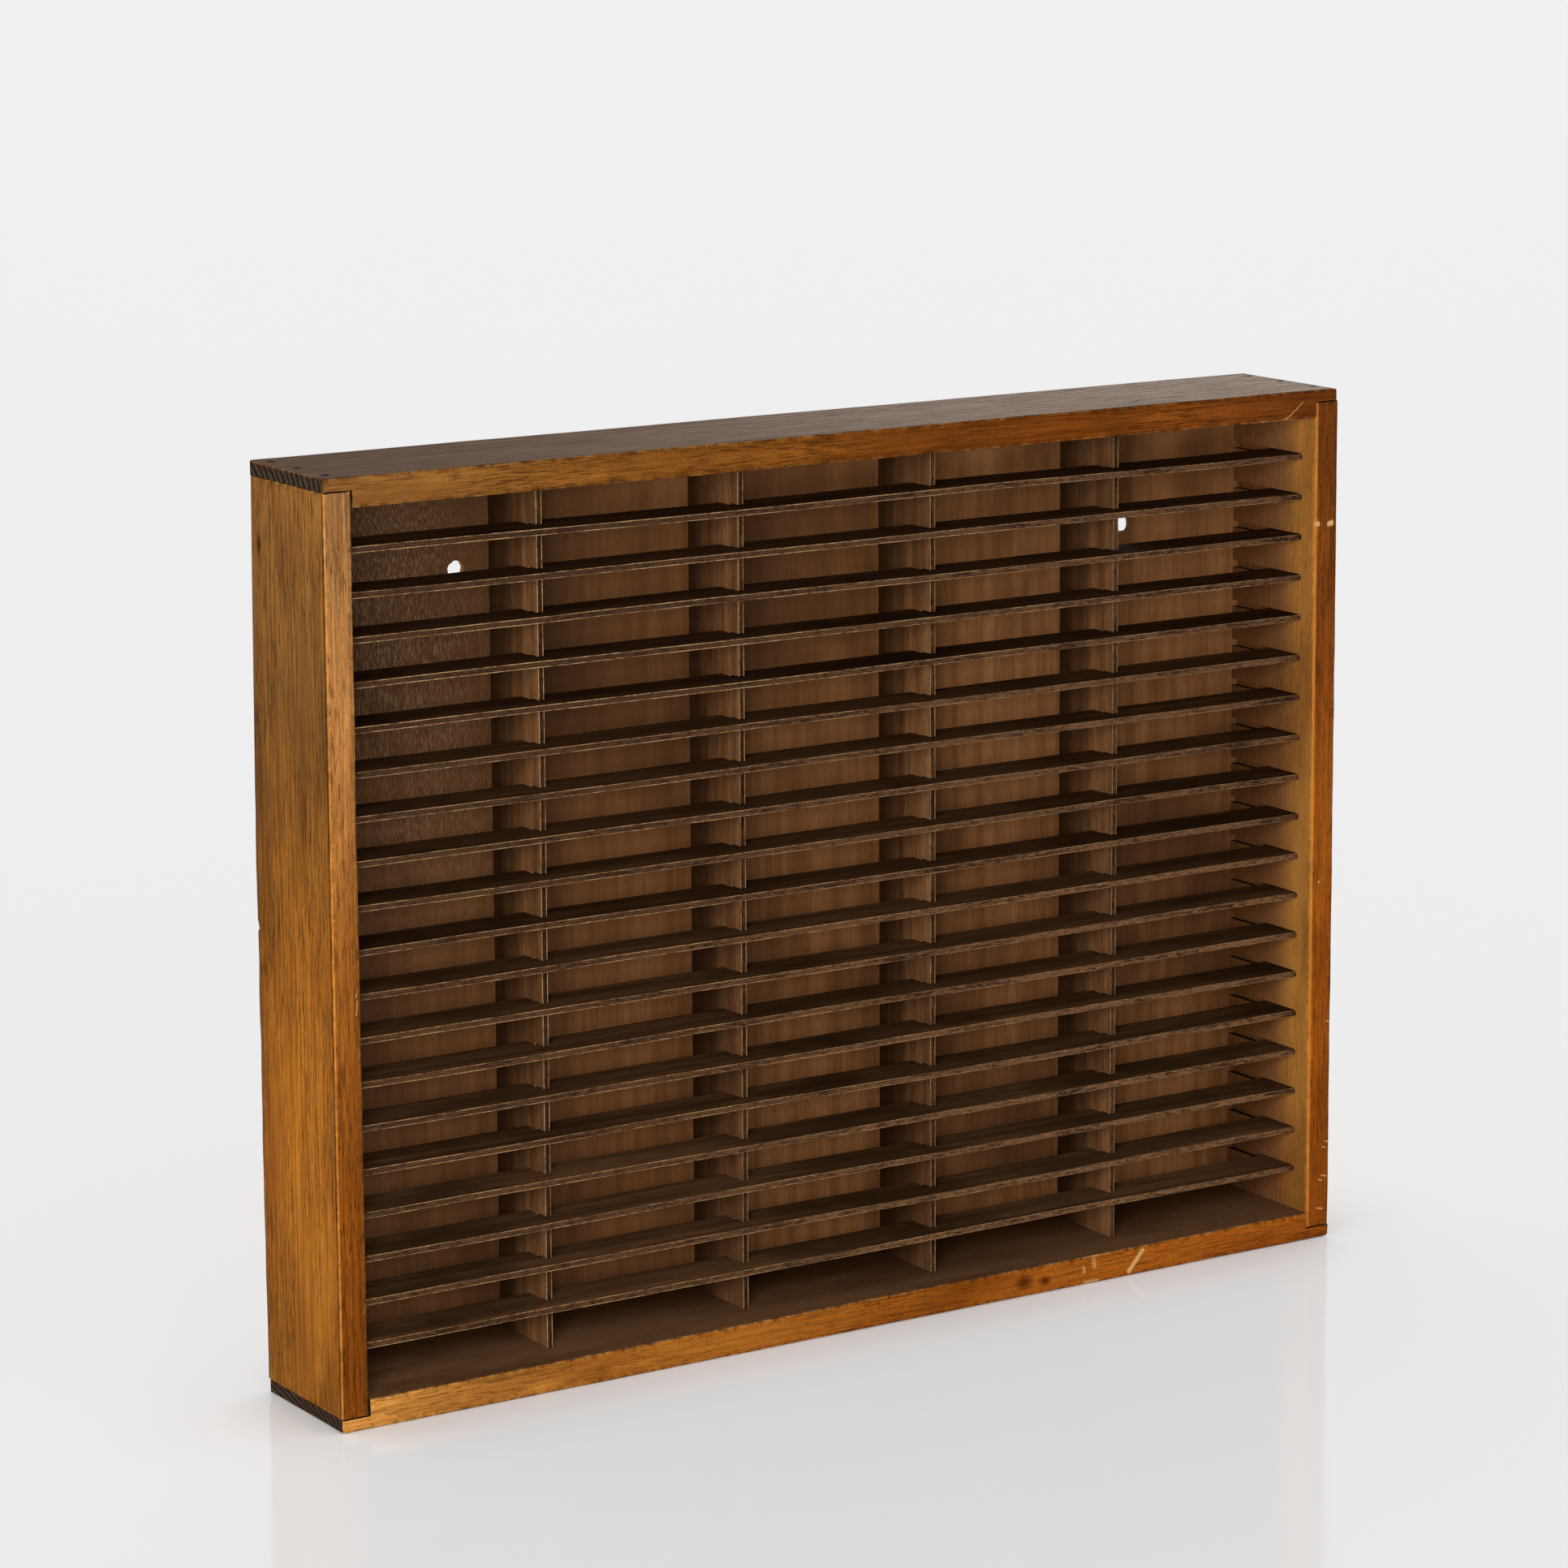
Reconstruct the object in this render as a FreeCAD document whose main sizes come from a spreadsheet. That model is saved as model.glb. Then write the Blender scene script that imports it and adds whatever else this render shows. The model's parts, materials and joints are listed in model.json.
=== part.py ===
"""Wall-hung wooden rack of one hundred shallow compartments, five columns by twenty rows.

Four solid boards make the frame. The top and bottom are rabbeted over the ends of the two sides and
nailed down into them. A thin plywood back panel sits in grooves near the rear edge and has two holes
for hanging. Nineteen plywood shelf strips slide in stopped dadoes in the sides, and four plywood
dividers are cross-lapped into the shelves from behind.

Units are millimetres. X runs across the width, Y from the open front to the back, Z up. The origin is
at the middle of the underside.
"""

import FreeCAD, Part
import math
import os

import Sketcher

ROWS = 20
COLUMNS = 5
NAILS_PER_END = 3

SAME_PLACE = 0.01      # coordinates closer than this are the same, in mm
LONG_EDGE = 50.0       # an edge longer than this runs along a board, in mm
LEAST_CUT = 1.0        # a cut that takes away less than this has missed, in cubic mm
START_RADIUS = 1.0     # a drawn circle's radius until its expression sets it, in mm

# Driving sizes: alias, value, meaning
SIZES = [
    ("case_width", 604.0, "outer width"),
    ("case_depth", 80.0, "outer depth, front to back"),
    ("case_height", 465.0, "outer height"),
    ("board_thick", 15.1, "thickness of the four frame boards"),
    ("lap_thick", 6.8, "board left over the side ends by the rabbet"),
    ("ply_thick", 3.2, "thickness of shelves, dividers and back panel"),
    ("row_pitch", 21.7, "shelf to shelf, centre to centre"),
    ("shelf_setback", 13.0, "front of case to front edge of shelf"),
    ("shelf_depth", 26.5, "front to back size of a shelf strip"),
    ("divider_setback", 23.0, "front of case to front edge of divider"),
    ("panel_setback", 71.0, "front of case to front face of back panel"),
    ("dado_depth", 3.5, "depth of the stopped dadoes"),
    ("dado_play", 0.4, "extra height of a dado over its sheet"),
    ("groove_depth", 5.0, "depth of the grooves for the back panel"),
    ("groove_play", 0.1, "gap on each face of the back panel"),
    ("end_gap", 0.3, "gap at the bottom of each dado or groove"),
    ("notch_play", 0.2, "gap on each side of a sheet in a cross-lap notch"),
    ("lap_gap", 0.1, "half the gap at the meeting line of two notches"),
    ("arris_round", 1.2, "rounding of the outer arrises"),
    ("mouth_round", 2.2, "rounding of the sides' inner front arrises"),
    ("hole_across", 9.0, "diameter of the hanging holes"),
    ("left_hole_out", 193.0, "left hole, from the middle"),
    ("left_hole_up", 403.0, "left hole, above the base"),
    ("right_hole_out", 213.0, "right hole, from the middle"),
    ("right_hole_up", 391.0, "right hole, above the base"),
    ("nail_spread", 28.0, "nail to nail along the depth"),
    ("nail_head_across", 3.0, "diameter of a nail head"),
    ("nail_head_thick", 0.9, "thickness of a nail head"),
    ("nail_across", 1.8, "diameter of a nail shank"),
    ("nail_reach", 28.0, "length of a nail shank"),
    ("nail_tip", 2.5, "length of a nail's point"),
    ("nail_sunk", 1.0, "depth of a nail head below the board's face"),
    ("nail_play", 0.05, "gap around a nail in its hole"),
]

doc = FreeCAD.newDocument("compartment_rack")
sheet = doc.addObject("Spreadsheet::Sheet", "Sizes")
for line, (alias, value, meaning) in enumerate(SIZES, start=1):
    sheet.set(f"A{line}", meaning)
    sheet.set(f"B{line}", str(value))
    sheet.setAlias(f"B{line}", alias)
doc.recompute()

# Expressions that several sub-parts share. The sheet's cells are written as Sizes.alias.
FRONT = "(-Sizes.case_depth / 2)"
HALF_INSIDE = "(Sizes.case_width / 2 - Sizes.board_thick)"
SHELF_FRONT = f"({FRONT} + Sizes.shelf_setback)"
SHELF_BACK = f"({SHELF_FRONT} + Sizes.shelf_depth)"
DIVIDER_FRONT = f"({FRONT} + Sizes.divider_setback)"
PANEL_FRONT = f"({FRONT} + Sizes.panel_setback)"
GROOVE_FRONT = f"({PANEL_FRONT} - Sizes.groove_play)"
GROOVE_BACK = f"({PANEL_FRONT} + Sizes.ply_thick + Sizes.groove_play)"
LAP_LINE = f"(({DIVIDER_FRONT} + {SHELF_BACK}) / 2)"
DADO_WIDE = "(Sizes.ply_thick + Sizes.dado_play)"
SPAN_OF_SHELVES = f"({ROWS - 2} * Sizes.row_pitch)"
LOWEST_SHELF = f"((Sizes.case_height - {SPAN_OF_SHELVES} - Sizes.ply_thick) / 2)"
COLUMN_PITCH = f"((2 * {HALF_INSIDE} + Sizes.ply_thick) / {COLUMNS})"
FIRST_DIVIDER = f"({COLUMN_PITCH} - {HALF_INSIDE} - Sizes.ply_thick / 2)"
NAIL_OUT = "(Sizes.case_width / 2 - Sizes.board_thick / 2)"
NAIL_HOLE_RADIUS = "(Sizes.nail_across / 2 + Sizes.nail_play)"
SINK_HOLE_RADIUS = "(Sizes.nail_head_across / 2 + Sizes.nail_play)"
SINK_DEPTH = "(Sizes.nail_sunk + Sizes.nail_head_thick)"

nodes = []


def new_body(name):
    """An empty PartDesign body that becomes the node of that name."""
    body = doc.addObject("PartDesign::Body", name)
    body.Label = name
    nodes.append(body)
    return body


def new_sketch(body, name, role, height=None):
    """A sketch on one of the body's own origin planes, raised along its normal by an expression."""
    sketch = body.newObject("Sketcher::SketchObject", f"{body.Name}_{name}")
    plane = next(f for f in body.Origin.OriginFeatures if f.Role == role)
    sketch.AttachmentSupport = (plane, [""])
    sketch.MapMode = "FlatFace"
    if height is not None:
        sketch.setExpression("AttachmentOffset.Base.z", height)
    return sketch


def pin_along(sketch, kind, geometry, point, expression):
    """Ties a point's distance from the sketch's origin along one axis (the kind) to an expression."""
    label = f"{kind}_{geometry}_{point}"
    drawn = sketch.getPoint(geometry, point)
    present = drawn.x if kind == "DistanceX" else drawn.y
    constraint = sketch.addConstraint(Sketcher.Constraint(kind, -1, 1, geometry, point, present))
    sketch.renameConstraint(constraint, label)
    sketch.setExpression(f"Constraints.{label}", expression)


def pin_point(sketch, geometry, point, across, up):
    """Ties one point of a sketch to two expressions, measured from the sketch's origin."""
    pin_along(sketch, "DistanceX", geometry, point, across)
    pin_along(sketch, "DistanceY", geometry, point, up)


def draw_outline(sketch, corners):
    """A closed outline of straight lines through corners, each a pair of expressions."""
    count = len(corners)
    turn = 2 * math.pi / count
    start = [FreeCAD.Vector(math.cos(turn * i), math.sin(turn * i), 0) for i in range(count)]
    for i in range(count):
        sketch.addGeometry(Part.LineSegment(start[i], start[(i + 1) % count]), False)
    for i in range(count):
        sketch.addConstraint(Sketcher.Constraint("Coincident", i, 2, (i + 1) % count, 1))
    for i, (across, up) in enumerate(corners):
        pin_point(sketch, i, 1, across, up)


def rectangle(left, right, low, high):
    """The four corners of an upright rectangle, as pairs of expressions."""
    return [(left, low), (right, low), (right, high), (left, high)]


def draw_circle(sketch, across, up, radius):
    """A circle whose centre and radius are expressions."""
    drawn = Part.Circle(FreeCAD.Vector(0, 0, 0), FreeCAD.Vector(0, 0, 1), START_RADIUS)
    circle = sketch.addGeometry(drawn, False)
    pin_point(sketch, circle, 3, across, up)
    constraint = sketch.addConstraint(Sketcher.Constraint("Radius", circle, START_RADIUS))
    sketch.renameConstraint(constraint, f"Radius_{circle}")
    sketch.setExpression(f"Constraints.Radius_{circle}", radius)


def pad(body, sketch, length, midplane=False, backwards=False):
    """Solid grown from a sketch by an expression, both ways, forwards or backwards."""
    feature = body.newObject("PartDesign::Pad", f"{sketch.Name}_pad")
    feature.Profile = sketch
    feature.setExpression("Length", length)
    feature.Midplane = midplane
    feature.Reversed = backwards
    doc.recompute()


def pocket(body, sketch, depth=None, forwards=False, midplane=False):
    """Material cut away through a sketch, and a check that some really went."""
    before = body.Shape.Volume
    feature = body.newObject("PartDesign::Pocket", f"{sketch.Name}_pocket")
    feature.Profile = sketch
    if depth is None:
        feature.Type = "ThroughAll"
    else:
        feature.setExpression("Length", depth)
    feature.Midplane = midplane
    feature.Reversed = forwards
    doc.recompute()
    if body.Shape.Volume > before - LEAST_CUT:
        raise RuntimeError(f"{feature.Name} cuts nothing")
    return feature


def repeat(body, features, sketch, axis, length, count):
    """The same cuts repeated along one axis of a sketch over an expression's length."""
    before = body.Shape.Volume
    pattern = body.newObject("PartDesign::LinearPattern", f"{features[0].Name}_pattern")
    pattern.Originals = features
    pattern.Direction = (sketch, [axis])
    pattern.setExpression("Length", length)
    pattern.Occurrences = count
    body.Tip = pattern
    doc.recompute()
    if body.Shape.Volume > before - LEAST_CUT:
        raise RuntimeError(f"{pattern.Name} cuts nothing")


def round_edges(body, chooses, radius):
    """A fillet on the edges of the body's shape that chooses(box) accepts."""
    tip = body.Tip
    names = []
    for place, edge in enumerate(tip.Shape.Edges, start=1):
        if chooses(edge.BoundBox):
            names.append(f"Edge{place}")
    feature = body.newObject("PartDesign::Fillet", f"{tip.Name}_round")
    feature.Base = (tip, names)
    feature.setExpression("Radius", radius)
    body.Tip = feature
    doc.recompute()


def is_arris(box, across, level):
    """True for an edge that runs the length of a board, at its front or rear. across is the axis of
    the board's thickness, X or Z, and level is the edge's place along it."""
    low, high, length = box.XMin, box.XMax, box.ZLength
    if across == "Z":
        low, high, length = box.ZMin, box.ZMax, box.XLength
    at_level = abs(low - level) < SAME_PLACE and abs(high - level) < SAME_PLACE
    at_end = abs(abs(box.YMin) - sheet.case_depth / 2) < SAME_PLACE
    return length > LONG_EDGE and at_level and at_end and box.YLength < SAME_PLACE


def make_cap_board(name, is_top):
    """Top or bottom board: rabbeted ends, back groove, dadoes for the dividers, nail holes."""
    body = new_body(name)
    outer = "Sizes.case_height" if is_top else "0"
    inward = "-" if is_top else "+"
    lap = f"{outer} {inward} Sizes.lap_thick"
    inner = f"{outer} {inward} Sizes.board_thick"
    half = "Sizes.case_width / 2"
    profile = new_sketch(body, "profile", "XZ_Plane")
    corners = [
        (f"-{half}", outer),
        (half, outer),
        (half, lap),
        (HALF_INSIDE, lap),
        (HALF_INSIDE, inner),
        (f"-{HALF_INSIDE}", inner),
        (f"-{HALF_INSIDE}", lap),
        (f"-{half}", lap),
    ]
    draw_outline(profile, corners)
    pad(body, profile, "Sizes.case_depth", midplane=True)

    groove = new_sketch(body, "groove", "XY_Plane", inner)
    draw_outline(groove, rectangle(f"-{HALF_INSIDE}", HALF_INSIDE, GROOVE_FRONT, GROOVE_BACK))
    pocket(body, groove, "Sizes.groove_depth", forwards=is_top)

    dado = new_sketch(body, "dado", "XY_Plane", inner)
    left = f"{FIRST_DIVIDER} - {DADO_WIDE} / 2"
    right = f"{FIRST_DIVIDER} + {DADO_WIDE} / 2"
    draw_outline(dado, rectangle(left, right, DIVIDER_FRONT, GROOVE_FRONT))
    stop = new_sketch(body, "dado_stop", "XY_Plane", inner)
    draw_circle(stop, FIRST_DIVIDER, DIVIDER_FRONT, f"{DADO_WIDE} / 2")
    cuts = [pocket(body, cut, "Sizes.dado_depth", forwards=is_top) for cut in (dado, stop)]
    repeat(body, cuts, dado, "H_Axis", f"{COLUMNS - 2} * {COLUMN_PITCH}", COLUMNS - 1)

    bore_nail_holes(body, "shank", outer, not is_top, NAIL_HOLE_RADIUS, "Sizes.lap_thick")
    bore_nail_holes(body, "head", outer, not is_top, SINK_HOLE_RADIUS, SINK_DEPTH)

    outer_face = sheet.case_height if is_top else 0
    round_edges(body, lambda box: is_arris(box, "Z", outer_face), "Sizes.arris_round")


def bore_nail_holes(body, name, height, forwards, radius, depth):
    """Nail holes in both ends of a cap board."""
    for end, sign in (("left", "-"), ("right", "")):
        sketch = new_sketch(body, f"{name}_{end}", "XY_Plane", height)
        draw_circle(sketch, f"{sign}{NAIL_OUT}", "-Sizes.nail_spread", radius)
        hole = pocket(body, sketch, depth, forwards=forwards)
        repeat(body, [hole], sketch, "V_Axis", "2 * Sizes.nail_spread", NAILS_PER_END)


def make_side_board(name, is_right):
    """Side board, drawn with its inner face on the body's YZ plane: dadoes, back groove, nail holes."""
    body = new_body(name)
    sign = "" if is_right else "-"
    low = "Sizes.lap_thick"
    high = f"Sizes.case_height - {low}"
    face = new_sketch(body, "face", "YZ_Plane")
    draw_outline(face, rectangle(FRONT, f"-{FRONT}", low, high))
    pad(body, face, "Sizes.board_thick", backwards=not is_right)

    groove = new_sketch(body, "groove", "YZ_Plane")
    draw_outline(groove, rectangle(GROOVE_FRONT, GROOVE_BACK, low, high))
    pocket(body, groove, "Sizes.groove_depth", forwards=is_right)

    dado = new_sketch(body, "dado", "YZ_Plane")
    top_of_dado = f"({LOWEST_SHELF} + {DADO_WIDE})"
    draw_outline(dado, rectangle(SHELF_FRONT, GROOVE_FRONT, LOWEST_SHELF, top_of_dado))
    stop = new_sketch(body, "dado_stop", "YZ_Plane")
    draw_circle(stop, SHELF_FRONT, f"{LOWEST_SHELF} + {DADO_WIDE} / 2", f"{DADO_WIDE} / 2")
    cuts = [pocket(body, cut, "Sizes.dado_depth", forwards=is_right) for cut in (dado, stop)]
    repeat(body, cuts, dado, "V_Axis", SPAN_OF_SHELVES, ROWS - 1)

    reach = f"{SINK_DEPTH} + Sizes.nail_reach - {low} + 2 * Sizes.nail_play"
    for end, height, upwards in (("top", high, False), ("bottom", low, True)):
        sketch = new_sketch(body, f"nail_{end}", "XY_Plane", height)
        draw_circle(sketch, f"{sign}Sizes.board_thick / 2", "-Sizes.nail_spread", NAIL_HOLE_RADIUS)
        hole = pocket(body, sketch, reach, forwards=upwards)
        repeat(body, [hole], sketch, "V_Axis", "2 * Sizes.nail_spread", NAILS_PER_END)

    outer_face = sheet.board_thick if is_right else -sheet.board_thick
    round_edges(body, lambda box: is_arris(box, "X", outer_face), "Sizes.arris_round")
    round_edges(body, lambda box: box.YMin < 0 and is_arris(box, "X", 0), "Sizes.mouth_round")
    body.setExpression("Placement.Base.x", f"{sign}{HALF_INSIDE}")


def make_back_panel():
    """Plywood back, held in the grooves of all four boards, with two round hanging holes."""
    body = new_body("back_panel")
    overhang = "Sizes.groove_depth - Sizes.end_gap"
    half_wide = f"({HALF_INSIDE} + {overhang})"
    low = f"(Sizes.board_thick - ({overhang}))"
    high = f"(Sizes.case_height - {low})"
    face = new_sketch(body, "face", "XZ_Plane")
    draw_outline(face, rectangle(f"-{half_wide}", half_wide, low, high))
    pad(body, face, "Sizes.ply_thick", backwards=True)
    holes = new_sketch(body, "holes", "XZ_Plane")
    draw_circle(holes, "-Sizes.left_hole_out", "Sizes.left_hole_up", "Sizes.hole_across / 2")
    draw_circle(holes, "Sizes.right_hole_out", "Sizes.right_hole_up", "Sizes.hole_across / 2")
    pocket(body, holes, midplane=True)
    body.setExpression("Placement.Base.y", PANEL_FRONT)


def make_divider(number):
    """Upright plywood divider, notched from the front for every shelf. It is drawn around x = 0."""
    body = new_body(f"divider_{number}")
    tongue = "(Sizes.dado_depth - Sizes.end_gap)"
    low = f"Sizes.board_thick - {tongue}"
    high = f"Sizes.case_height - Sizes.board_thick + {tongue}"
    rear = f"{PANEL_FRONT} - Sizes.lap_gap"
    face = new_sketch(body, "face", "YZ_Plane")
    draw_outline(face, rectangle(DIVIDER_FRONT, rear, low, high))
    pad(body, face, "Sizes.ply_thick", midplane=True)
    notch = new_sketch(body, "notch", "YZ_Plane")
    top_of_notch = f"{LOWEST_SHELF} + {DADO_WIDE}"
    end_of_notch = f"{LAP_LINE} + Sizes.lap_gap"
    draw_outline(notch, rectangle(DIVIDER_FRONT, end_of_notch, LOWEST_SHELF, top_of_notch))
    cut = pocket(body, notch, midplane=True)
    repeat(body, [cut], notch, "V_Axis", SPAN_OF_SHELVES, ROWS - 1)
    body.setExpression("Placement.Base.x", f"{FIRST_DIVIDER} + {number - 1} * {COLUMN_PITCH}")


def make_shelf(number):
    """Shelf strip, notched from the back for every divider. Number 1 is the highest."""
    body = new_body(f"shelf_{number:02d}")
    half_long = f"({HALF_INSIDE} + Sizes.dado_depth - Sizes.end_gap)"
    face = new_sketch(body, "face", "XY_Plane")
    draw_outline(face, rectangle(f"-{half_long}", half_long, SHELF_FRONT, SHELF_BACK))
    pad(body, face, "Sizes.ply_thick")
    notch = new_sketch(body, "notch", "XY_Plane")
    half_notch = "(Sizes.ply_thick / 2 + Sizes.notch_play)"
    left = f"{FIRST_DIVIDER} - {half_notch}"
    right = f"{FIRST_DIVIDER} + {half_notch}"
    start_of_notch = f"{LAP_LINE} - Sizes.lap_gap"
    draw_outline(notch, rectangle(left, right, start_of_notch, SHELF_BACK))
    cut = pocket(body, notch, midplane=True)
    repeat(body, [cut], notch, "H_Axis", f"{COLUMNS - 2} * {COLUMN_PITCH}", COLUMNS - 1)
    steps_up = ROWS - 1 - number
    body.setExpression("Placement.Base.z", f"{LOWEST_SHELF} + {steps_up} * Sizes.row_pitch")


def make_nail(name, sign, step, is_top):
    """One wire nail, sunk into a cap board: flat head, plain shank and a pointed tip."""
    inward = -1 if is_top else 1
    face = "Sizes.case_height" if is_top else "0"
    pieces = []
    shapes = (
        ("head", "Part::Cylinder", "Sizes.nail_sunk", "Sizes.nail_head_thick"),
        ("shank", "Part::Cylinder", SINK_DEPTH, "(Sizes.nail_reach - Sizes.nail_tip)"),
        ("tip", "Part::Cone", f"({SINK_DEPTH} + Sizes.nail_reach - Sizes.nail_tip)", "Sizes.nail_tip"),
    )
    for part_name, kind, depth, length in shapes:
        piece = doc.addObject(kind, f"{name}_{part_name}")
        piece.setExpression("Height", length)
        if kind == "Part::Cone":
            piece.setExpression("Radius1", "Sizes.nail_across / 2")
            piece.Radius2 = 0
        elif part_name == "head":
            piece.setExpression("Radius", "Sizes.nail_head_across / 2")
        else:
            piece.setExpression("Radius", "Sizes.nail_across / 2")
        if is_top:
            piece.Placement.Rotation = FreeCAD.Rotation(FreeCAD.Vector(1, 0, 0), 180)
        piece.setExpression("Placement.Base.x", f"{sign}{NAIL_OUT}")
        piece.setExpression("Placement.Base.y", f"{step} * Sizes.nail_spread")
        piece.setExpression("Placement.Base.z", f"{face} + {inward} * {depth}")
        pieces.append(piece)
    nail = doc.addObject("Part::MultiFuse", name)
    nail.Shapes = pieces
    return nail


def make_nails(name, is_top):
    """The nails of one cap board, three at each end, as one group of separate solids."""
    nails = []
    for end, sign in (("left", "-"), ("right", "")):
        for place in range(NAILS_PER_END):
            step = place - NAILS_PER_END // 2
            nails.append(make_nail(f"{name}_{end}_{place + 1}", sign, step, is_top))
    group = doc.addObject("Part::Compound", name)
    group.Label = name
    group.Links = nails
    nodes.append(group)


make_cap_board("top_board", True)
make_cap_board("bottom_board", False)
make_side_board("left_side", False)
make_side_board("right_side", True)
make_back_panel()
for number in range(1, COLUMNS):
    make_divider(number)
for number in range(1, ROWS):
    make_shelf(number)
make_nails("top_nails", True)
make_nails("bottom_nails", False)
doc.recompute()

for item in doc.Objects:
    if "Invalid" in item.State or "Error" in item.State:
        raise RuntimeError(f"{item.Name} is {item.State}")
for node in nodes:
    if node.Shape.isNull() or not node.Shape.isValid():
        raise RuntimeError(f"{node.Label} has no valid shape")

os.makedirs("parts", exist_ok=True)
for node in nodes:
    node.Shape.exportStep(f"parts/{node.Label}.step")
    print(node.Label, len(node.Shape.Solids), round(node.Shape.Volume, 1))
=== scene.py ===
import json
import math

import bmesh
import bpy
from mathutils import Matrix, Vector, noise


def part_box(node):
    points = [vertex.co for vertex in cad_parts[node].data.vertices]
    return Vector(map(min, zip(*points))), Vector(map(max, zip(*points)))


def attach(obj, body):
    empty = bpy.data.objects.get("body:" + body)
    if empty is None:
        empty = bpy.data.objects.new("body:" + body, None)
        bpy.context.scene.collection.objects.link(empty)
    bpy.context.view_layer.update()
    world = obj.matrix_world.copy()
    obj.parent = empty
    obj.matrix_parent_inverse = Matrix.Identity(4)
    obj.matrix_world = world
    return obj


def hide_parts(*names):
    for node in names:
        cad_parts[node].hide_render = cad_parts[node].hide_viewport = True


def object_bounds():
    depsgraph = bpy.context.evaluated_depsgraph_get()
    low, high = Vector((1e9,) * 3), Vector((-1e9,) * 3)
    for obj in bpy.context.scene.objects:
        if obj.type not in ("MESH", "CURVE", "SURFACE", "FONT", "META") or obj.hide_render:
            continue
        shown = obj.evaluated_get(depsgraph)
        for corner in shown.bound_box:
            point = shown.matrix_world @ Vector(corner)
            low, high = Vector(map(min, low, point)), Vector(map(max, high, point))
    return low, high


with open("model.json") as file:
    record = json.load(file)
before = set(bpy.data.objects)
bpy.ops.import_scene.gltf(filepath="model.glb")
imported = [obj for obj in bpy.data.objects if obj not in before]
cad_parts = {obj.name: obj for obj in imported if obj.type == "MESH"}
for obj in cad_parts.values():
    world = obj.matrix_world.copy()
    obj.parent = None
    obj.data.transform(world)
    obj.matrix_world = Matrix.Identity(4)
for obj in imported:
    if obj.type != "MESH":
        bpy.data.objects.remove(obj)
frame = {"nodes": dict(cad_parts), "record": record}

# The looks of a worn wooden rack with one hundred slots. Every frame board, plywood strip and nail is
# rebuilt here with eased edges, plies, chips and warp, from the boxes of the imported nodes. Metres.

MM = 0.001
CAD_LOW, CAD_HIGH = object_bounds()
BOX = {node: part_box(node) for node in frame["nodes"]}
SHELVES = sorted(node for node in BOX if node.startswith("shelf"))
DIVIDERS = sorted(node for node in BOX if node.startswith("divider"))

CASE_LOW, CASE_HIGH = CAD_LOW.copy(), CAD_HIGH.copy()
CENTRE = (CASE_LOW + CASE_HIGH) / 2
FRONT, REAR = CASE_LOW.y, CASE_HIGH.y
PANEL_LOW, PANEL_HIGH = BOX["back_panel"]
SHELF_LOW, SHELF_HIGH = BOX["shelf_01"]
DIVIDER_LOW, DIVIDER_HIGH = BOX["divider_1"]
PLY = PANEL_HIGH.y - PANEL_LOW.y
INNER_LEFT = BOX["left_side"][1].x
INNER_RIGHT = BOX["right_side"][0].x
SIDE_LOW, SIDE_HIGH = BOX["left_side"][0].z, BOX["left_side"][1].z
INNER_BOTTOM = BOX["bottom_board"][1].z
INNER_TOP = BOX["top_board"][0].z
LAP_LINE = (DIVIDER_LOW.y + SHELF_HIGH.y) / 2

DADO_DEPTH = INNER_LEFT - SHELF_LOW.x + 0.3 * MM
DADO_WIDE = PLY + 0.4 * MM
GROOVE_DEPTH = INNER_LEFT - PANEL_LOW.x + 0.3 * MM
GROOVE_PLAY = 0.1 * MM
NAIL_OUT = (CASE_HIGH.x + INNER_RIGHT) / 2
NAIL_SPREAD = 28 * MM
HANGING_HOLES = [m for m in frame["record"]["mounts"] if m["kind"] == "bore"]


# ---------------------------------------------------------------- mesh helpers

def mesh_object(name, verts, faces, slots=None):
    """An object made from vertices and faces, with a material slot number for each face."""
    mesh = bpy.data.meshes.new(name)
    mesh.from_pydata(verts, [], faces)
    if slots:
        mesh.polygons.foreach_set("material_index", slots)
    mesh.update()
    obj = bpy.data.objects.new(name, mesh)
    bpy.context.scene.collection.objects.link(obj)
    return obj


def wave(point, scale, seed):
    """A smooth noise vector at a point; scale is in waves per metre, and seed picks another pattern."""
    return noise.noise_vector(Vector(point) * scale + Vector((seed * 7.31, seed * 3.17, seed * 5.77)))


def block_lines(low, high, radius, step, extra=()):
    """Grid lines along one side of a block: bunched where the edges round, then evenly spaced."""
    bends = [0.0, radius * (1 - math.tan(math.pi / 8)), radius]
    inside = high - low - 2 * radius
    count = max(1, round(inside / step))
    lines = [low + b for b in bends]
    lines += [low + radius + inside * i / count for i in range(1, count)]
    lines += [high - b for b in reversed(bends)]
    lines += [line for line in extra if low + radius < line < high - radius]
    lines.sort()
    kept = [lines[0]]
    for line in lines[1:]:
        if line - kept[-1] > 0.2 * MM:
            kept.append(line)
    return kept


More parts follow.
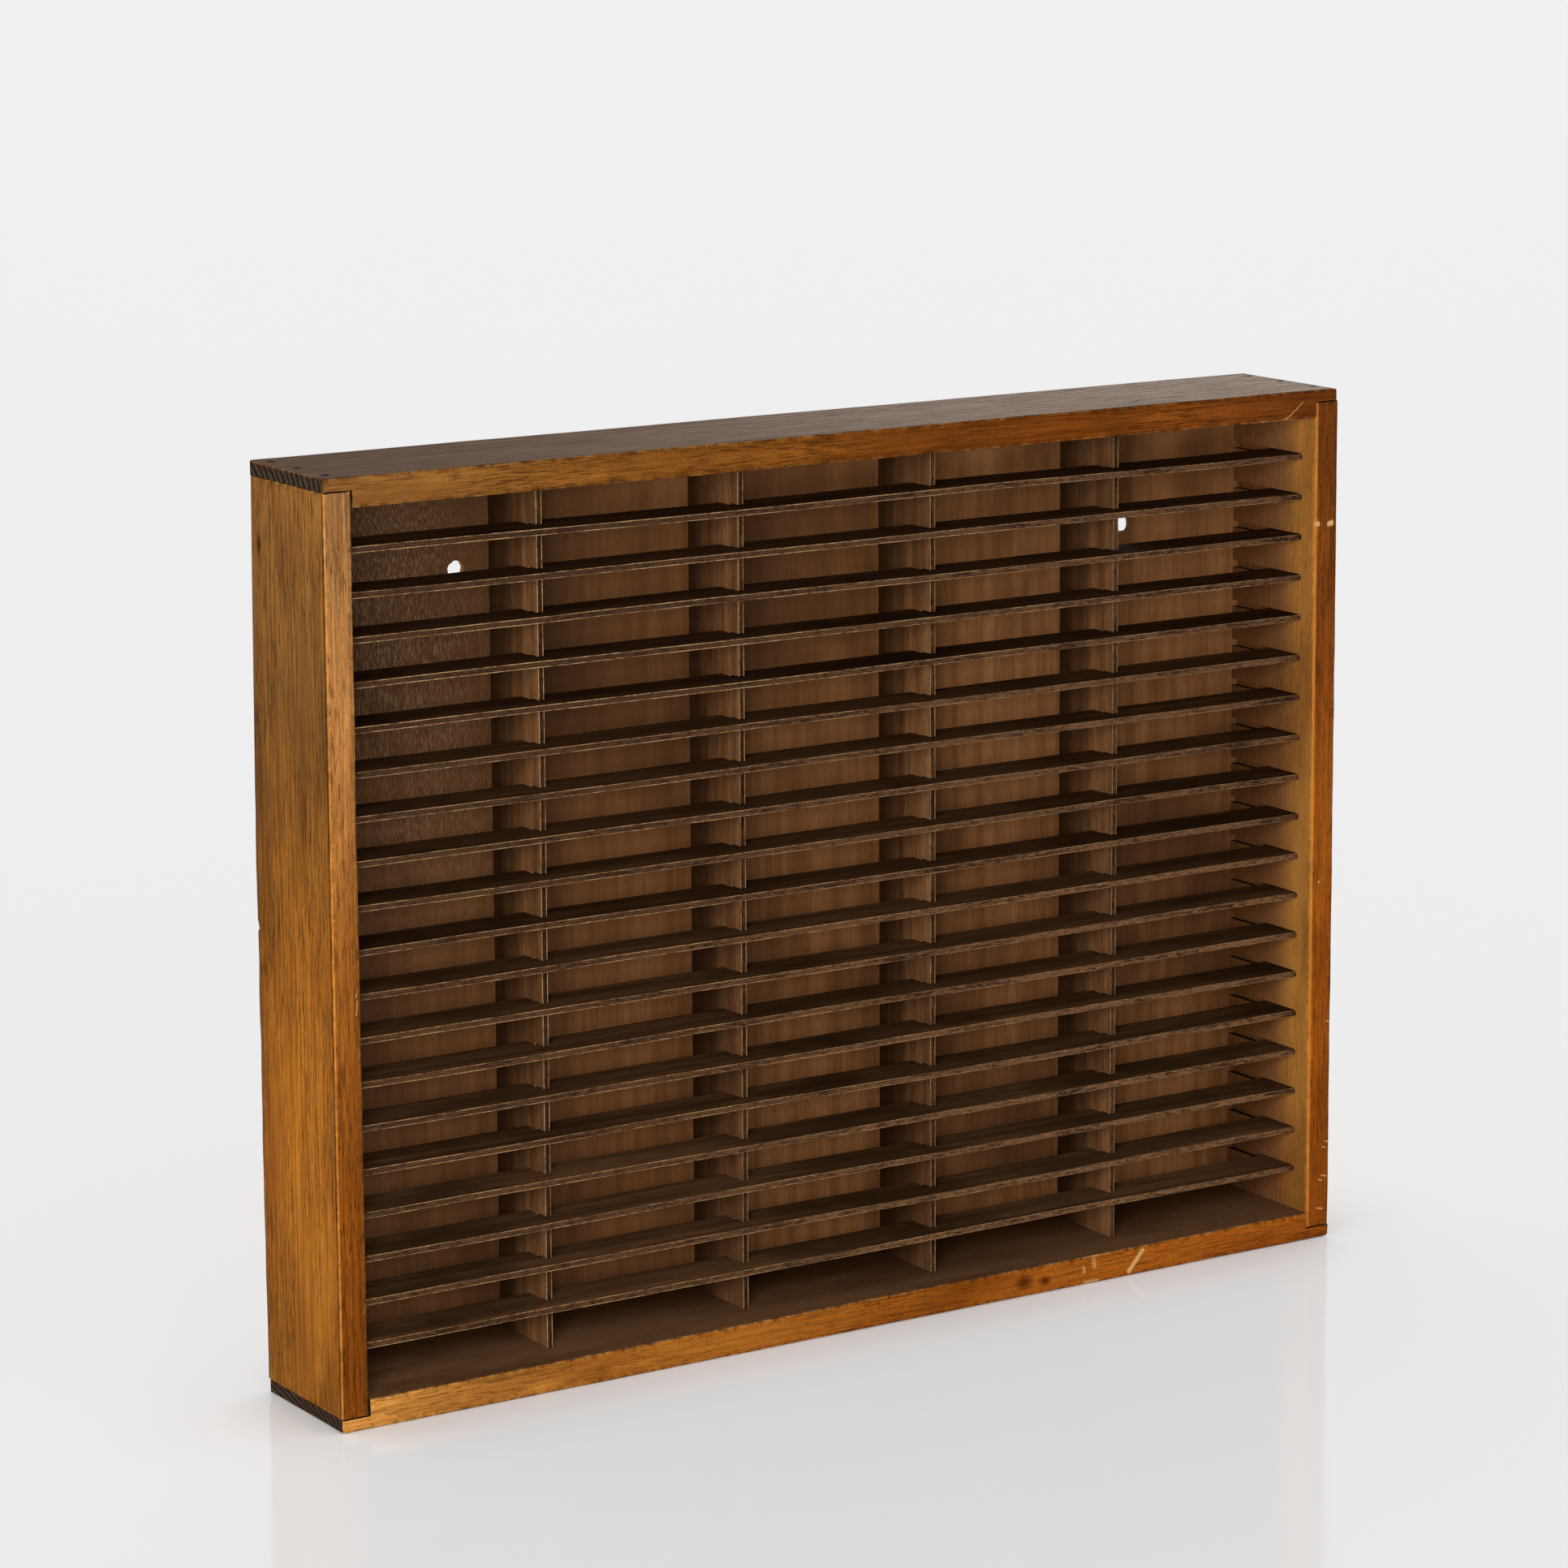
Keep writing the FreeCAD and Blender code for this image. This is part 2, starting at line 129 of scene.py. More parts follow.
def rounded_block(name, low, high, radius, step, extra=((), (), ())):
    """A closed block of quads whose twelve edges are rounded to a radius."""
    lines = [block_lines(low[a], high[a], radius, step, extra[a]) for a in range(3)]
    last = [len(line) - 1 for line in lines]
    core_low = Vector(low) + Vector((radius,) * 3)
    core_high = Vector(high) - Vector((radius,) * 3)
    index, verts, faces = {}, [], []

    def vertex(key):
        if key not in index:
            point = Vector([lines[a][key[a]] for a in range(3)])
            core = Vector([min(max(point[a], core_low[a]), core_high[a]) for a in range(3)])
            out = point - core
            index[key] = len(verts)
            verts.append(core + out.normalized() * radius)
        return index[key]

    for axis in range(3):
        across, up = (axis + 1) % 3, (axis + 2) % 3
        for level in (0, last[axis]):
            for i in range(last[across]):
                for j in range(last[up]):
                    corner = []
                    for di, dj in ((0, 0), (1, 0), (1, 1), (0, 1)):
                        key = [0, 0, 0]
                        key[axis], key[across], key[up] = level, i + di, j + dj
                        corner.append(vertex(tuple(key)))
                    faces.append(corner if level else corner[::-1])
    return mesh_object(name, verts, faces)


def bend_vertices(obj, move):
    """Moves every vertex of a piece by what move(point) returns, but not out of the case's box."""
    for v in obj.data.vertices:
        bent = Vector(v.co) + move(Vector(v.co))
        v.co = [min(max(bent[a], CASE_LOW[a]), CASE_HIGH[a]) for a in range(3)]
    obj.data.update()


def round_corner(obj, axes, corner, inward, radius, wobble=0.0):
    """Rounds one arris to a larger radius. axes are the two directions across it, and corner is where
    its faces would meet; inward says which way the wood lies. wobble makes the wear uneven."""
    along = 3 - axes[0] - axes[1]

    def move(point):
        r = radius * (1 + wobble * noise.noise(Vector((point[along] * 40, corner[0] * 9, corner[1] * 9))))
        deep = [(point[a] - corner[n]) * inward[n] for n, a in enumerate(axes)]
        if max(deep) >= r:
            return Vector()
        away = [r - d for d in deep]
        length = math.hypot(*away)
        if length <= r:
            return Vector()
        shift = Vector()
        for n, a in enumerate(axes):
            shift[a] = inward[n] * (away[n] - away[n] * r / length)
        return shift

    bend_vertices(obj, move)


class Cutter:
    """Shapes that are gathered in one mesh and then carved out of a piece together."""

    def __init__(self):
        self.bm = bmesh.new()

    def box(self, low, high):
        low, high = Vector(low), Vector(high)
        size = high - low
        place = Matrix.Translation((low + high) / 2) @ Matrix.Diagonal((*size, 1))
        bmesh.ops.create_cube(self.bm, size=1, matrix=place)

    def rod(self, start, end, radius, segments=20, rough=0.0, seed=0):
        """A round rod from start to end, slightly out of round if rough is above 0."""
        start, end = Vector(start), Vector(end)
        axis = end - start
        turn = axis.to_track_quat("Z", "Y").to_matrix().to_4x4()
        made = bmesh.ops.create_cone(
            self.bm, cap_ends=True, segments=segments, radius1=radius, radius2=radius,
            depth=axis.length, matrix=Matrix.Translation((start + end) / 2) @ turn)
        middle = (start + end) / 2
        for v in made["verts"]:
            arm = v.co - middle
            arm -= axis.normalized() * arm.dot(axis.normalized())
            v.co += arm * rough * noise.noise(arm * 400 + Vector((seed, 0, 0)))

    def slot(self, face, outward, mouth, back, low, high):
        """A dado across x = face, cut in the direction outward, with a half-round end at mouth."""
        radius = (high - low) / 2
        outline = [(back, low), (back, high)]
        for step in range(9):
            angle = math.pi / 2 + math.pi * step / 8
            outline.append((mouth + radius * math.cos(angle), low + radius + radius * math.sin(angle)))
        near, far = face - outward * MM, face + outward * DADO_DEPTH
        rings = [[self.bm.verts.new((x, y, z)) for y, z in outline] for x in (near, far)]
        self.prism(rings)

    def upright_slot(self, x, mouth, back, face, upward):
        """The same for a divider in a cap board: it runs along y and is cut up or down from face."""
        radius = DADO_WIDE / 2
        outline = [(x + radius, back), (x - radius, back)]
        for step in range(9):
            angle = math.pi + math.pi * step / 8
            outline.append((x + radius * math.cos(angle), mouth + radius * math.sin(angle)))
        near, far = face - upward * MM, face + upward * DADO_DEPTH
        rings = [[self.bm.verts.new((px, py, z)) for px, py in outline] for z in (near, far)]
        self.prism(rings)

    def prism(self, rings):
        count = len(rings[0])
        for i in range(count):
            j = (i + 1) % count
            self.bm.faces.new((rings[0][i], rings[0][j], rings[1][j], rings[1][i]))
        self.bm.faces.new(rings[0][::-1])
        self.bm.faces.new(rings[1])

    def chip(self, centre, radii, seed):
        """An irregular pebble, for a chip or a dent."""
        made = bmesh.ops.create_icosphere(self.bm, subdivisions=3, radius=1)
        for v in made["verts"]:
            bump = 1 + 0.35 * noise.noise(v.co * 1.7 + Vector((seed, seed * 0.3, 0)))
            v.co = Vector(centre) + Vector([v.co[a] * radii[a] * bump for a in range(3)])

    def carve(self, obj, overlapping=False):
        """Takes the gathered shapes out of obj and leaves a plain mesh. Shapes that overlap one
        another need overlapping=True, which is slower."""
        bmesh.ops.recalc_face_normals(self.bm, faces=self.bm.faces)
        mesh = bpy.data.meshes.new("cutter")
        self.bm.to_mesh(mesh)
        self.bm.free()
        tool = bpy.data.objects.new("cutter", mesh)
        bpy.context.scene.collection.objects.link(tool)
        modifier = obj.modifiers.new("carve", "BOOLEAN")
        modifier.operation = "DIFFERENCE"
        modifier.solver = "EXACT"
        modifier.use_self = overlapping
        modifier.object = tool
        bpy.context.view_layer.update()
        graph = bpy.context.evaluated_depsgraph_get()
        made = bpy.data.meshes.new_from_object(obj.evaluated_get(graph))
        obj.modifiers.clear()
        old = obj.data
        obj.data = made
        bpy.data.meshes.remove(old)
        bpy.data.objects.remove(tool)
        bpy.data.meshes.remove(mesh)


def smooth_shaded(obj, angle=35):
    """Smooth shading, with the edges sharper than angle kept crisp."""
    obj.data.shade_smooth()
    obj.data.set_sharp_from_angle(angle=math.radians(angle))


def place(obj, slot, *nodes):
    """Rides a finished piece on the body and lets it stand for its CAD nodes."""
    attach(obj, "root")
    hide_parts(*nodes)
    return obj


# ---------------------------------------------------------------- shader helpers

class Graph:
    """A small builder for one procedural material."""

    def __init__(self, name):
        self.material = bpy.data.materials.new(name)
        self.material.use_nodes = True
        self.tree = self.material.node_tree
        self.shader = self.tree.nodes["Principled BSDF"]
        self.point = self.add("ShaderNodeTexCoord").outputs["Object"]
        split = self.add("ShaderNodeSeparateXYZ")
        self.link(self.point, split.inputs[0])
        self.xyz = [split.outputs[a] for a in range(3)]
        ragged = self.noise(self.stretched((1100, 1100, 1100)), detail=3, rough=0.7)
        self.ragged = self.math("MULTIPLY", self.math("SUBTRACT", ragged, 0.5), 2.4)

    def add(self, kind, **settings):
        node = self.tree.nodes.new(kind)
        for key, value in settings.items():
            setattr(node, key, value)
        return node

    def link(self, source, socket):
        """Connects a socket, or sets a plain value."""
        if isinstance(source, bpy.types.NodeSocket):
            self.tree.links.new(source, socket)
        else:
            socket.default_value = source

    def math(self, operation, *values, clamp=False):
        node = self.add("ShaderNodeMath", operation=operation, use_clamp=clamp)
        for number, value in enumerate(values):
            self.link(value, node.inputs[number])
        return node.outputs[0]

    def vector(self, x, y, z):
        node = self.add("ShaderNodeCombineXYZ")
        for socket, value in zip(node.inputs, (x, y, z)):
            self.link(value, socket)
        return node.outputs[0]

    def stretched(self, scales, shift=0.0):
        """The point with each axis scaled on its own, in waves per metre."""
        node = self.add("ShaderNodeMapping")
        self.link(self.point, node.inputs["Vector"])
        node.inputs["Scale"].default_value = scales
        node.inputs["Location"].default_value = (shift, shift * 1.7, shift * 0.6)
        return node.outputs[0]

    def noise(self, vector, scale=1.0, detail=3.0, rough=0.55, twist=0.0):
        node = self.add("ShaderNodeTexNoise")
        self.link(vector, node.inputs["Vector"])
        node.inputs["Scale"].default_value = scale
        node.inputs["Detail"].default_value = detail
        node.inputs["Roughness"].default_value = rough
        node.inputs["Distortion"].default_value = twist
        return node.outputs["Fac"]

    def ramp(self, factor, low, high, start=0.0, end=1.0):
        """A value from start to end as factor goes from low to high, held outside that."""
        node = self.add("ShaderNodeMapRange", interpolation_type="SMOOTHSTEP")
        for key, value in (("Value", factor), ("From Min", low), ("From Max", high)):
            self.link(value, node.inputs[key])
        node.inputs["To Min"].default_value = start
        node.inputs["To Max"].default_value = end
        return node.outputs[0]

    def stops(self, factor, colours):
        """A colour that passes evenly through colours as factor goes from 0 to 1."""
        node = self.add("ShaderNodeValToRGB")
        self.link(factor, node.inputs["Fac"])
        steps = node.color_ramp.elements
        while len(steps) < len(colours):
            steps.new(0.5)
        for number, colour in enumerate(colours):
            steps[number].position = number / (len(colours) - 1)
            steps[number].color = (*colour, 1.0)
        return node.outputs["Color"]

    def mix(self, factor, first, second, blend="MIX"):
        node = self.add("ShaderNodeMix", data_type="RGBA", blend_type=blend)
        self.link(factor, node.inputs["Factor"])
        for value, number in ((first, 6), (second, 7)):
            if not isinstance(value, bpy.types.NodeSocket):
                value = (*value, 1.0)
            self.link(value, node.inputs[number])
        return node.outputs[2]

    def near(self, centre, radii, soft=0.4):
        """1 inside an ellipsoid and 0 outside, with a soft ragged rim."""
        away = self.add("ShaderNodeVectorMath", operation="SUBTRACT")
        self.link(self.point, away.inputs[0])
        self.link(Vector(centre), away.inputs[1])
        scaled = self.add("ShaderNodeVectorMath", operation="DIVIDE")
        self.link(away.outputs[0], scaled.inputs[0])
        self.link(Vector(radii), scaled.inputs[1])
        reach = self.add("ShaderNodeVectorMath", operation="LENGTH")
        self.link(scaled.outputs[0], reach.inputs[0])
        total = self.math("ADD", reach.outputs["Value"], self.math("MULTIPLY", self.ragged, soft))
        return self.ramp(total, 1.0 - soft, 1.0 + soft, 1.0, 0.0)

    def stroke(self, start, end, radius, soft=0.4):
        """1 on a stroke from start to end and 0 away from it, with a ragged rim."""
        start, run = Vector(start), Vector(end) - Vector(start)
        arm = self.add("ShaderNodeVectorMath", operation="SUBTRACT")
        self.link(self.point, arm.inputs[0])
        self.link(start, arm.inputs[1])
        dot = self.add("ShaderNodeVectorMath", operation="DOT_PRODUCT")
        self.link(arm.outputs[0], dot.inputs[0])
        self.link(run, dot.inputs[1])
        share = self.math("DIVIDE", dot.outputs["Value"], run.length_squared, clamp=True)
        foot = self.add("ShaderNodeVectorMath", operation="SCALE")
        self.link(run, foot.inputs[0])
        self.link(share, foot.inputs["Scale"])
        gap = self.add("ShaderNodeVectorMath", operation="DISTANCE")
        self.link(arm.outputs[0], gap.inputs[0])
        self.link(foot.outputs[0], gap.inputs[1])
        total = self.math("DIVIDE", gap.outputs["Value"], radius)
        total = self.math("ADD", total, self.math("MULTIPLY", self.ragged, soft))
        return self.ramp(total, 1.0 - soft, 1.0 + soft, 1.0, 0.0)

    def facing(self, axis):
        """How far the surface faces up an axis: 1 along it, -1 against it."""
        node = self.add("ShaderNodeSeparateXYZ")
        self.link(self.add("ShaderNodeNewGeometry").outputs["Normal"], node.inputs[0])
        return node.outputs[axis]

    def edge_distance(self, low, high):
        """Distance in metres from the nearest arris of a block, for points on its surface."""
        gaps = []
        for a in range(3):
            middle, half = (low[a] + high[a]) / 2, (high[a] - low[a]) / 2
            off = self.math("ABSOLUTE", self.math("SUBTRACT", self.xyz[a], middle))
            gaps.append(self.math("SUBTRACT", half, off))
        total = self.math("ADD", self.math("ADD", gaps[0], gaps[1]), gaps[2])
        small = self.math("MINIMUM", self.math("MINIMUM", gaps[0], gaps[1]), gaps[2])
        large = self.math("MAXIMUM", self.math("MAXIMUM", gaps[0], gaps[1]), gaps[2])
        return self.math("SUBTRACT", self.math("SUBTRACT", total, small), large)

    def finish(self, colour, roughness, height, depth, specular=0.2):
        self.link(colour, self.shader.inputs["Base Color"])
        self.link(roughness, self.shader.inputs["Roughness"])
        self.shader.inputs["Specular IOR Level"].default_value = specular
        bump = self.add("ShaderNodeBump")
        bump.inputs["Strength"].default_value = 1.0
        bump.inputs["Distance"].default_value = depth
        self.link(height, bump.inputs["Height"])
        self.link(bump.outputs["Normal"], self.shader.inputs["Normal"])
        return self.material


def along(axis, length_scale, cross_scale):
    """Scales for a texture that is drawn out along one axis."""
    return tuple(length_scale if a == axis else cross_scale for a in range(3))


# ---------------------------------------------------------------- materials

PALE_WOOD = (0.62, 0.36, 0.13)
PAINTED_HIGHLIGHT_GOLD = (0.62, 0.235, 0.034)
# The darkest colour, for the pores and for the painted gap shadows.
PORE_AND_SHADOW = (0.022, 0.010, 0.004)


def shade(colour, amount):
    return [channel * amount for channel in colour]


def board_material(name, box, grain, pith, ring, front, outer, inside, inside_way, greyed=0.0, arris=0.3,
                   figure=0.3, pores=0.62, scars=(), gap_shadows=(), strips=(), smudges=(), nailed=False,
                   seed=0.0):
    """Stained softwood. Growth rings circle a pith line parallel to the grain, so the faces show long
    figure and the ends show arcs. front, outer and inside are the stain on those faces, as colours
    from one end of the board to the other; the inside face looks along inside_way."""
    g = Graph(name)
    across = [a for a in range(3) if a != grain]
    sway = g.noise(g.stretched(along(grain, 3.0, 6.0), seed), detail=2)
    sway = g.math("MULTIPLY", g.math("SUBTRACT", sway, 0.5), 10 * MM)
    arms = [g.math("ADD", g.math("SUBTRACT", g.xyz[a], pith[n]), sway) for n, a in enumerate(across)]
    reach = g.math("SQRT", g.math("ADD", g.math("POWER", arms[0], 2.0), g.math("POWER", arms[1], 2.0)))
    waver = g.noise(g.stretched(along(grain, 14, 90), seed + 2), detail=4, rough=0.6)
    turns = g.math("ADD", g.math("DIVIDE", reach, ring), g.math("MULTIPLY", waver, 1.1))
    part = g.math("FRACT", turns)
    late = g.math("MULTIPLY", g.ramp(part, 0.35, 0.88), g.ramp(part, 0.93, 1.0, 1.0, 0.0))
    fibre = g.noise(g.stretched(along(grain, 26, 1000), seed + 5), detail=5, rough=0.75)
    streak = g.noise(g.stretched(along(grain, 8, 380), seed + 9), detail=4, rough=0.62)
    grit = g.noise(g.stretched((1300, 1300, 1300), seed + 1), detail=3, rough=0.7)
    dash = g.noise(g.stretched(along(grain, 80, 1500), seed + 4), detail=2, rough=0.6)
    spread = g.noise(g.stretched(along(grain, 12, 34), seed + 3), detail=3, rough=0.6)
    pore = g.math("MULTIPLY", g.ramp(dash, 0.545, 0.615), g.ramp(spread, 0.34, 0.58))
    patch = g.noise(g.stretched(along(grain, 7, 22), seed + 12), detail=4, rough=0.6)

    place = g.math("DIVIDE", g.math("SUBTRACT", g.xyz[grain], box[0][grain]), box[1][grain] - box[0][grain])
    place = g.math("ADD", place, g.math("MULTIPLY", g.math("SUBTRACT", patch, 0.5), 0.25))
    inner = g.ramp(g.math("MULTIPLY", g.facing(inside_way[0]), inside_way[1]), 0.75, 0.95)
    light = g.mix(g.ramp(g.math("MULTIPLY", g.facing(1), -1.0), 0.55, 0.85), g.stops(place, outer),
                  g.stops(place, front))
    light = g.mix(inner, light, g.stops(place, inside))
    outside = g.math("SUBTRACT", 1.0, g.math("MULTIPLY", inner, 0.85))
    dark = g.mix(1.0, light, (0.42, 0.34, 0.26), "MULTIPLY")
    bright = g.mix(1.0, light, (1.30, 1.34, 1.5), "MULTIPLY")
    deep = g.mix(1.0, light, (0.20, 0.15, 0.11), "MULTIPLY")

    colour = g.mix(g.ramp(patch, 0.42, 0.64, 0.0, 0.55), bright, dark)
    colour = g.mix(g.math("MULTIPLY", g.math("MULTIPLY", late, figure), outside), colour, dark)
    colour = g.mix(g.math("MULTIPLY", g.ramp(streak, 0.44, 0.70, 0.0, 1.6 * figure), outside), colour, dark)
    lines = g.math("MULTIPLY", g.ramp(fibre, 0.46, 0.68, 0.0, 0.30 + 0.40 * pores), outside)
    colour = g.mix(lines, colour, deep)
    if grain == 2:
        # Painted shade: the sides' inside faces turn greyer behind the shelf fronts, where the shelves shade them.
        dull = g.mix(1.0, light, (0.60, 0.62, 1.40), "MULTIPLY")
        behind = g.ramp(g.xyz[1], SHELF_LOW.y - 2 * MM, SHELF_LOW.y + 20 * MM, 0.0, 0.85)
        colour = g.mix(g.math("MULTIPLY", behind, inner), colour, dull)
    # Painted shade: the inside faces darken from behind the shelf fronts towards the back panel.
    painted_recess_shade = g.math("MULTIPLY", g.ramp(g.xyz[1], SHELF_LOW.y + 6 * MM, PANEL_LOW.y - 4 * MM), inner)
    colour = g.mix(g.math("MULTIPLY", painted_recess_shade, 0.5 if grain == 2 else 0.3), colour, deep)
    colour = g.mix(g.ramp(grit, 0.46, 0.72, 0.0, 0.50), colour, deep)
    colour = g.mix(g.math("MULTIPLY", g.math("MULTIPLY", pore, pores), outside), colour, PORE_AND_SHADOW)

    ends = g.ramp(g.math("ABSOLUTE", g.facing(grain)), 0.6, 0.9)
    ring_end = g.mix(g.ramp(part, 0.30, 0.80), (0.080, 0.050, 0.032), (0.012, 0.008, 0.005))
    ring_end = g.mix(g.ramp(grit, 0.42, 0.66, 0.0, 0.6), ring_end, (0.016, 0.010, 0.007))
    colour = g.mix(ends, colour, ring_end)

    edge = g.edge_distance(*box)
    fray = g.noise(g.stretched((210, 210, 210), seed + 7), detail=4, rough=0.7)
    worn = g.math("MULTIPLY", g.ramp(edge, 0.2 * MM, 1.3 * MM, 1.0, 0.0), g.ramp(fray, 0.50, 0.62))
    colour = g.mix(g.math("MULTIPLY", worn, arris), colour, PALE_WOOD)
    grimy = g.math("MULTIPLY", g.ramp(edge, 0.0, 4 * MM, 1.0, 0.0), g.ramp(fray, 0.52, 0.40))
    colour = g.mix(g.math("MULTIPLY", grimy, 0.6), colour, deep)

    # Dust on the top face, with a painted sheen that turns it paler towards the right end.
    if greyed:
        dust_and_sheen_share = g.math("MULTIPLY", g.ramp(g.facing(2), 0.7, 0.95), greyed)
        dust_and_sheen_colour = g.stops(place, DUST_AND_SHEEN_TOP)
        dust_and_sheen_colour = g.mix(g.ramp(fibre, 0.42, 0.66, 0.0, 0.7), dust_and_sheen_colour, (0.070, 0.040, 0.024))
        dust_and_sheen_colour = g.mix(g.math("MULTIPLY", g.ramp(part, 0.45, 0.90), 0.65), dust_and_sheen_colour, (0.052, 0.028, 0.016))
        dust_and_sheen_colour = g.mix(g.ramp(streak, 0.52, 0.66, 0.0, 0.6), dust_and_sheen_colour, (0.050, 0.028, 0.017))
        colour = g.mix(dust_and_sheen_share, colour, dust_and_sheen_colour)
    if nailed:
        from_row = g.math("SUBTRACT", g.math("ABSOLUTE", g.xyz[0]), NAIL_OUT)
        folded = g.math("ABSOLUTE", g.math("SUBTRACT", g.math("ABSOLUTE", g.xyz[1]), NAIL_SPREAD / 2))
        from_nail = g.math("SUBTRACT", folded, NAIL_SPREAD / 2)
        gap = g.math("SQRT", g.math("ADD", g.math("POWER", from_row, 2.0), g.math("POWER", from_nail, 2.0)))
        gap = g.math("ADD", gap, g.math("MULTIPLY", g.ragged, 0.3 * MM))
        colour = g.mix(g.ramp(gap, 1.9 * MM, 3.1 * MM, 0.95, 0.0), colour, (0.006, 0.004, 0.003))
    for centre, radii, strength in smudges:
        colour = g.mix(g.math("MULTIPLY", g.near(centre, radii, 0.8), strength), colour, deep)
    # Painted highlights: each strip is a golden line where an arris catches the light.
    for start, end, radius, strength in strips:
        colour = g.mix(g.math("MULTIPLY", g.stroke(start, end, radius, 0.35), strength), colour, PAINTED_HIGHLIGHT_GOLD)
    # Painted shadows: dark lines in the gaps where the caps lie over the sides, and beside the left front arris.
    for start, end, radius in gap_shadows:
        colour = g.mix(g.stroke(start, end, radius, 0.3), colour, PORE_AND_SHADOW)
    for start, end, radius, strength in scars:
        colour = g.mix(g.math("MULTIPLY", g.stroke(start, end, radius), strength), colour, PALE_WOOD)
    speck = g.ramp(g.noise(g.stretched((700, 700, 700), seed + 6), detail=1), 0.80, 0.84)
    colour = g.mix(g.math("MULTIPLY", speck, 0.5), colour, (0.6, 0.5, 0.4))

    rough = g.math("ADD", g.ramp(fibre, 0.2, 0.8, 0.42, 0.58), g.math("MULTIPLY", pore, 0.2))
    rough = g.math("ADD", rough, g.math("MULTIPLY", ends, 0.25))
    height = g.math("SUBTRACT", g.math("MULTIPLY", fibre, 0.6), g.math("MULTIPLY", pore, 0.9))
    height = g.math("ADD", height, g.math("MULTIPLY", late, 0.2))
    height = g.math("SUBTRACT", height, g.math("MULTIPLY", grit, 0.35))
    return g.finish(colour, rough, height, 0.20 * MM, specular=0.02)


def veneer_material(name, grain, light, dark, grime_and_shade, seed=0.0, streaks=0.7, ticks=None, painted_depth_shade=None):
    """The face of stained plywood: straight fine grain with short pores and cloudy stain. ticks are
    the shares of pale pores at the left and right end of a face that looks forward, which has a painted
    shadow at its upper left, and the last argument is how much a painted shade darkens it from front to back."""
    g = Graph(name)
    fibre = g.noise(g.stretched(along(grain, 60, 1200), seed), detail=4, rough=0.7)
    band = g.noise(g.stretched(along(grain, 5, 130), seed + 3), detail=3, rough=0.6)
    cloud = g.noise(g.stretched((9, 9, 9), seed + 8), detail=3, rough=0.6)
    colour = g.mix(g.ramp(band, 0.3, 0.7), light, dark)
    colour = g.mix(g.ramp(fibre, 0.38, 0.70, 0.0, streaks), colour, shade(dark, 0.45))
    tick = g.ramp(g.noise(g.stretched(along(grain, 300, 2600), seed + 1), detail=2), 0.50, 0.62)
    if ticks:
        forward = g.ramp(g.math("MULTIPLY", g.facing(1), -1.0), 0.5, 0.9)
        share = g.ramp(g.xyz[0], INNER_LEFT + 60 * MM, INNER_LEFT + 150 * MM, *ticks)
        share = g.math("MULTIPLY", share, forward)
        share = g.math("MULTIPLY", share, g.ramp(g.xyz[2], CENTRE.z - 60 * MM, CENTRE.z + 60 * MM, 0.1, 0.8))
        share = g.math("MULTIPLY", share, g.ramp(g.noise(g.stretched((14, 14, 14), seed + 4)), 0.3, 0.6, 0.4, 1.0))
        pale = [0.62 * light[0] + 0.02, 0.95 * light[1] + 0.02, 1.5 * light[2] + 0.02]
        # Painted shadow at the upper left of the forward face.
        painted_upper_left_shadow = g.math("MULTIPLY", g.ramp(g.xyz[0], INNER_LEFT, INNER_RIGHT - 90 * MM, 0.95, 0.0),
                      g.ramp(g.xyz[2], CENTRE.z - 60 * MM, INNER_TOP - 60 * MM, 0.65, 1.0))
        colour = g.mix(g.math("MULTIPLY", painted_upper_left_shadow, forward), colour, grime_and_shade)
        # Lighter along the top row of the forward face, towards the right.
        top_row_lighter = g.ramp(g.xyz[2], INNER_TOP - 22 * MM, INNER_TOP - 10 * MM, 0.0, 0.6)
        top_row_lighter = g.math("MULTIPLY", top_row_lighter, g.ramp(g.xyz[0], INNER_LEFT + 150 * MM, CENTRE.x))
        colour = g.mix(g.math("MULTIPLY", top_row_lighter, forward), colour, light)
        colour = g.mix(g.math("MULTIPLY", tick, share), colour, pale)
    colour = g.mix(g.ramp(cloud, 0.42, 0.7, 0.0, 0.75), colour, grime_and_shade)
    # Painted shade: the sheet darkens from its front to its back.
    if painted_depth_shade:
        colour = g.mix(g.ramp(g.xyz[1], DIVIDER_LOW.y + 8 * MM, DIVIDER_HIGH.y - 2 * MM, 0.0, painted_depth_shade), colour,
                       shade(grime_and_shade, 0.35))
    speck = g.ramp(g.noise(g.stretched((520, 520, 520), seed + 6), detail=1), 0.815, 0.85)
    colour = g.mix(g.math("MULTIPLY", speck, 0.6), colour, (0.50, 0.38, 0.26))
    rough = g.ramp(fibre, 0.2, 0.8, 0.52, 0.68)
    height = g.math("ADD", g.math("MULTIPLY", fibre, 0.7), g.math("MULTIPLY", tick, -0.4))
    return g.finish(colour, rough, height, 0.10 * MM, specular=0.02)


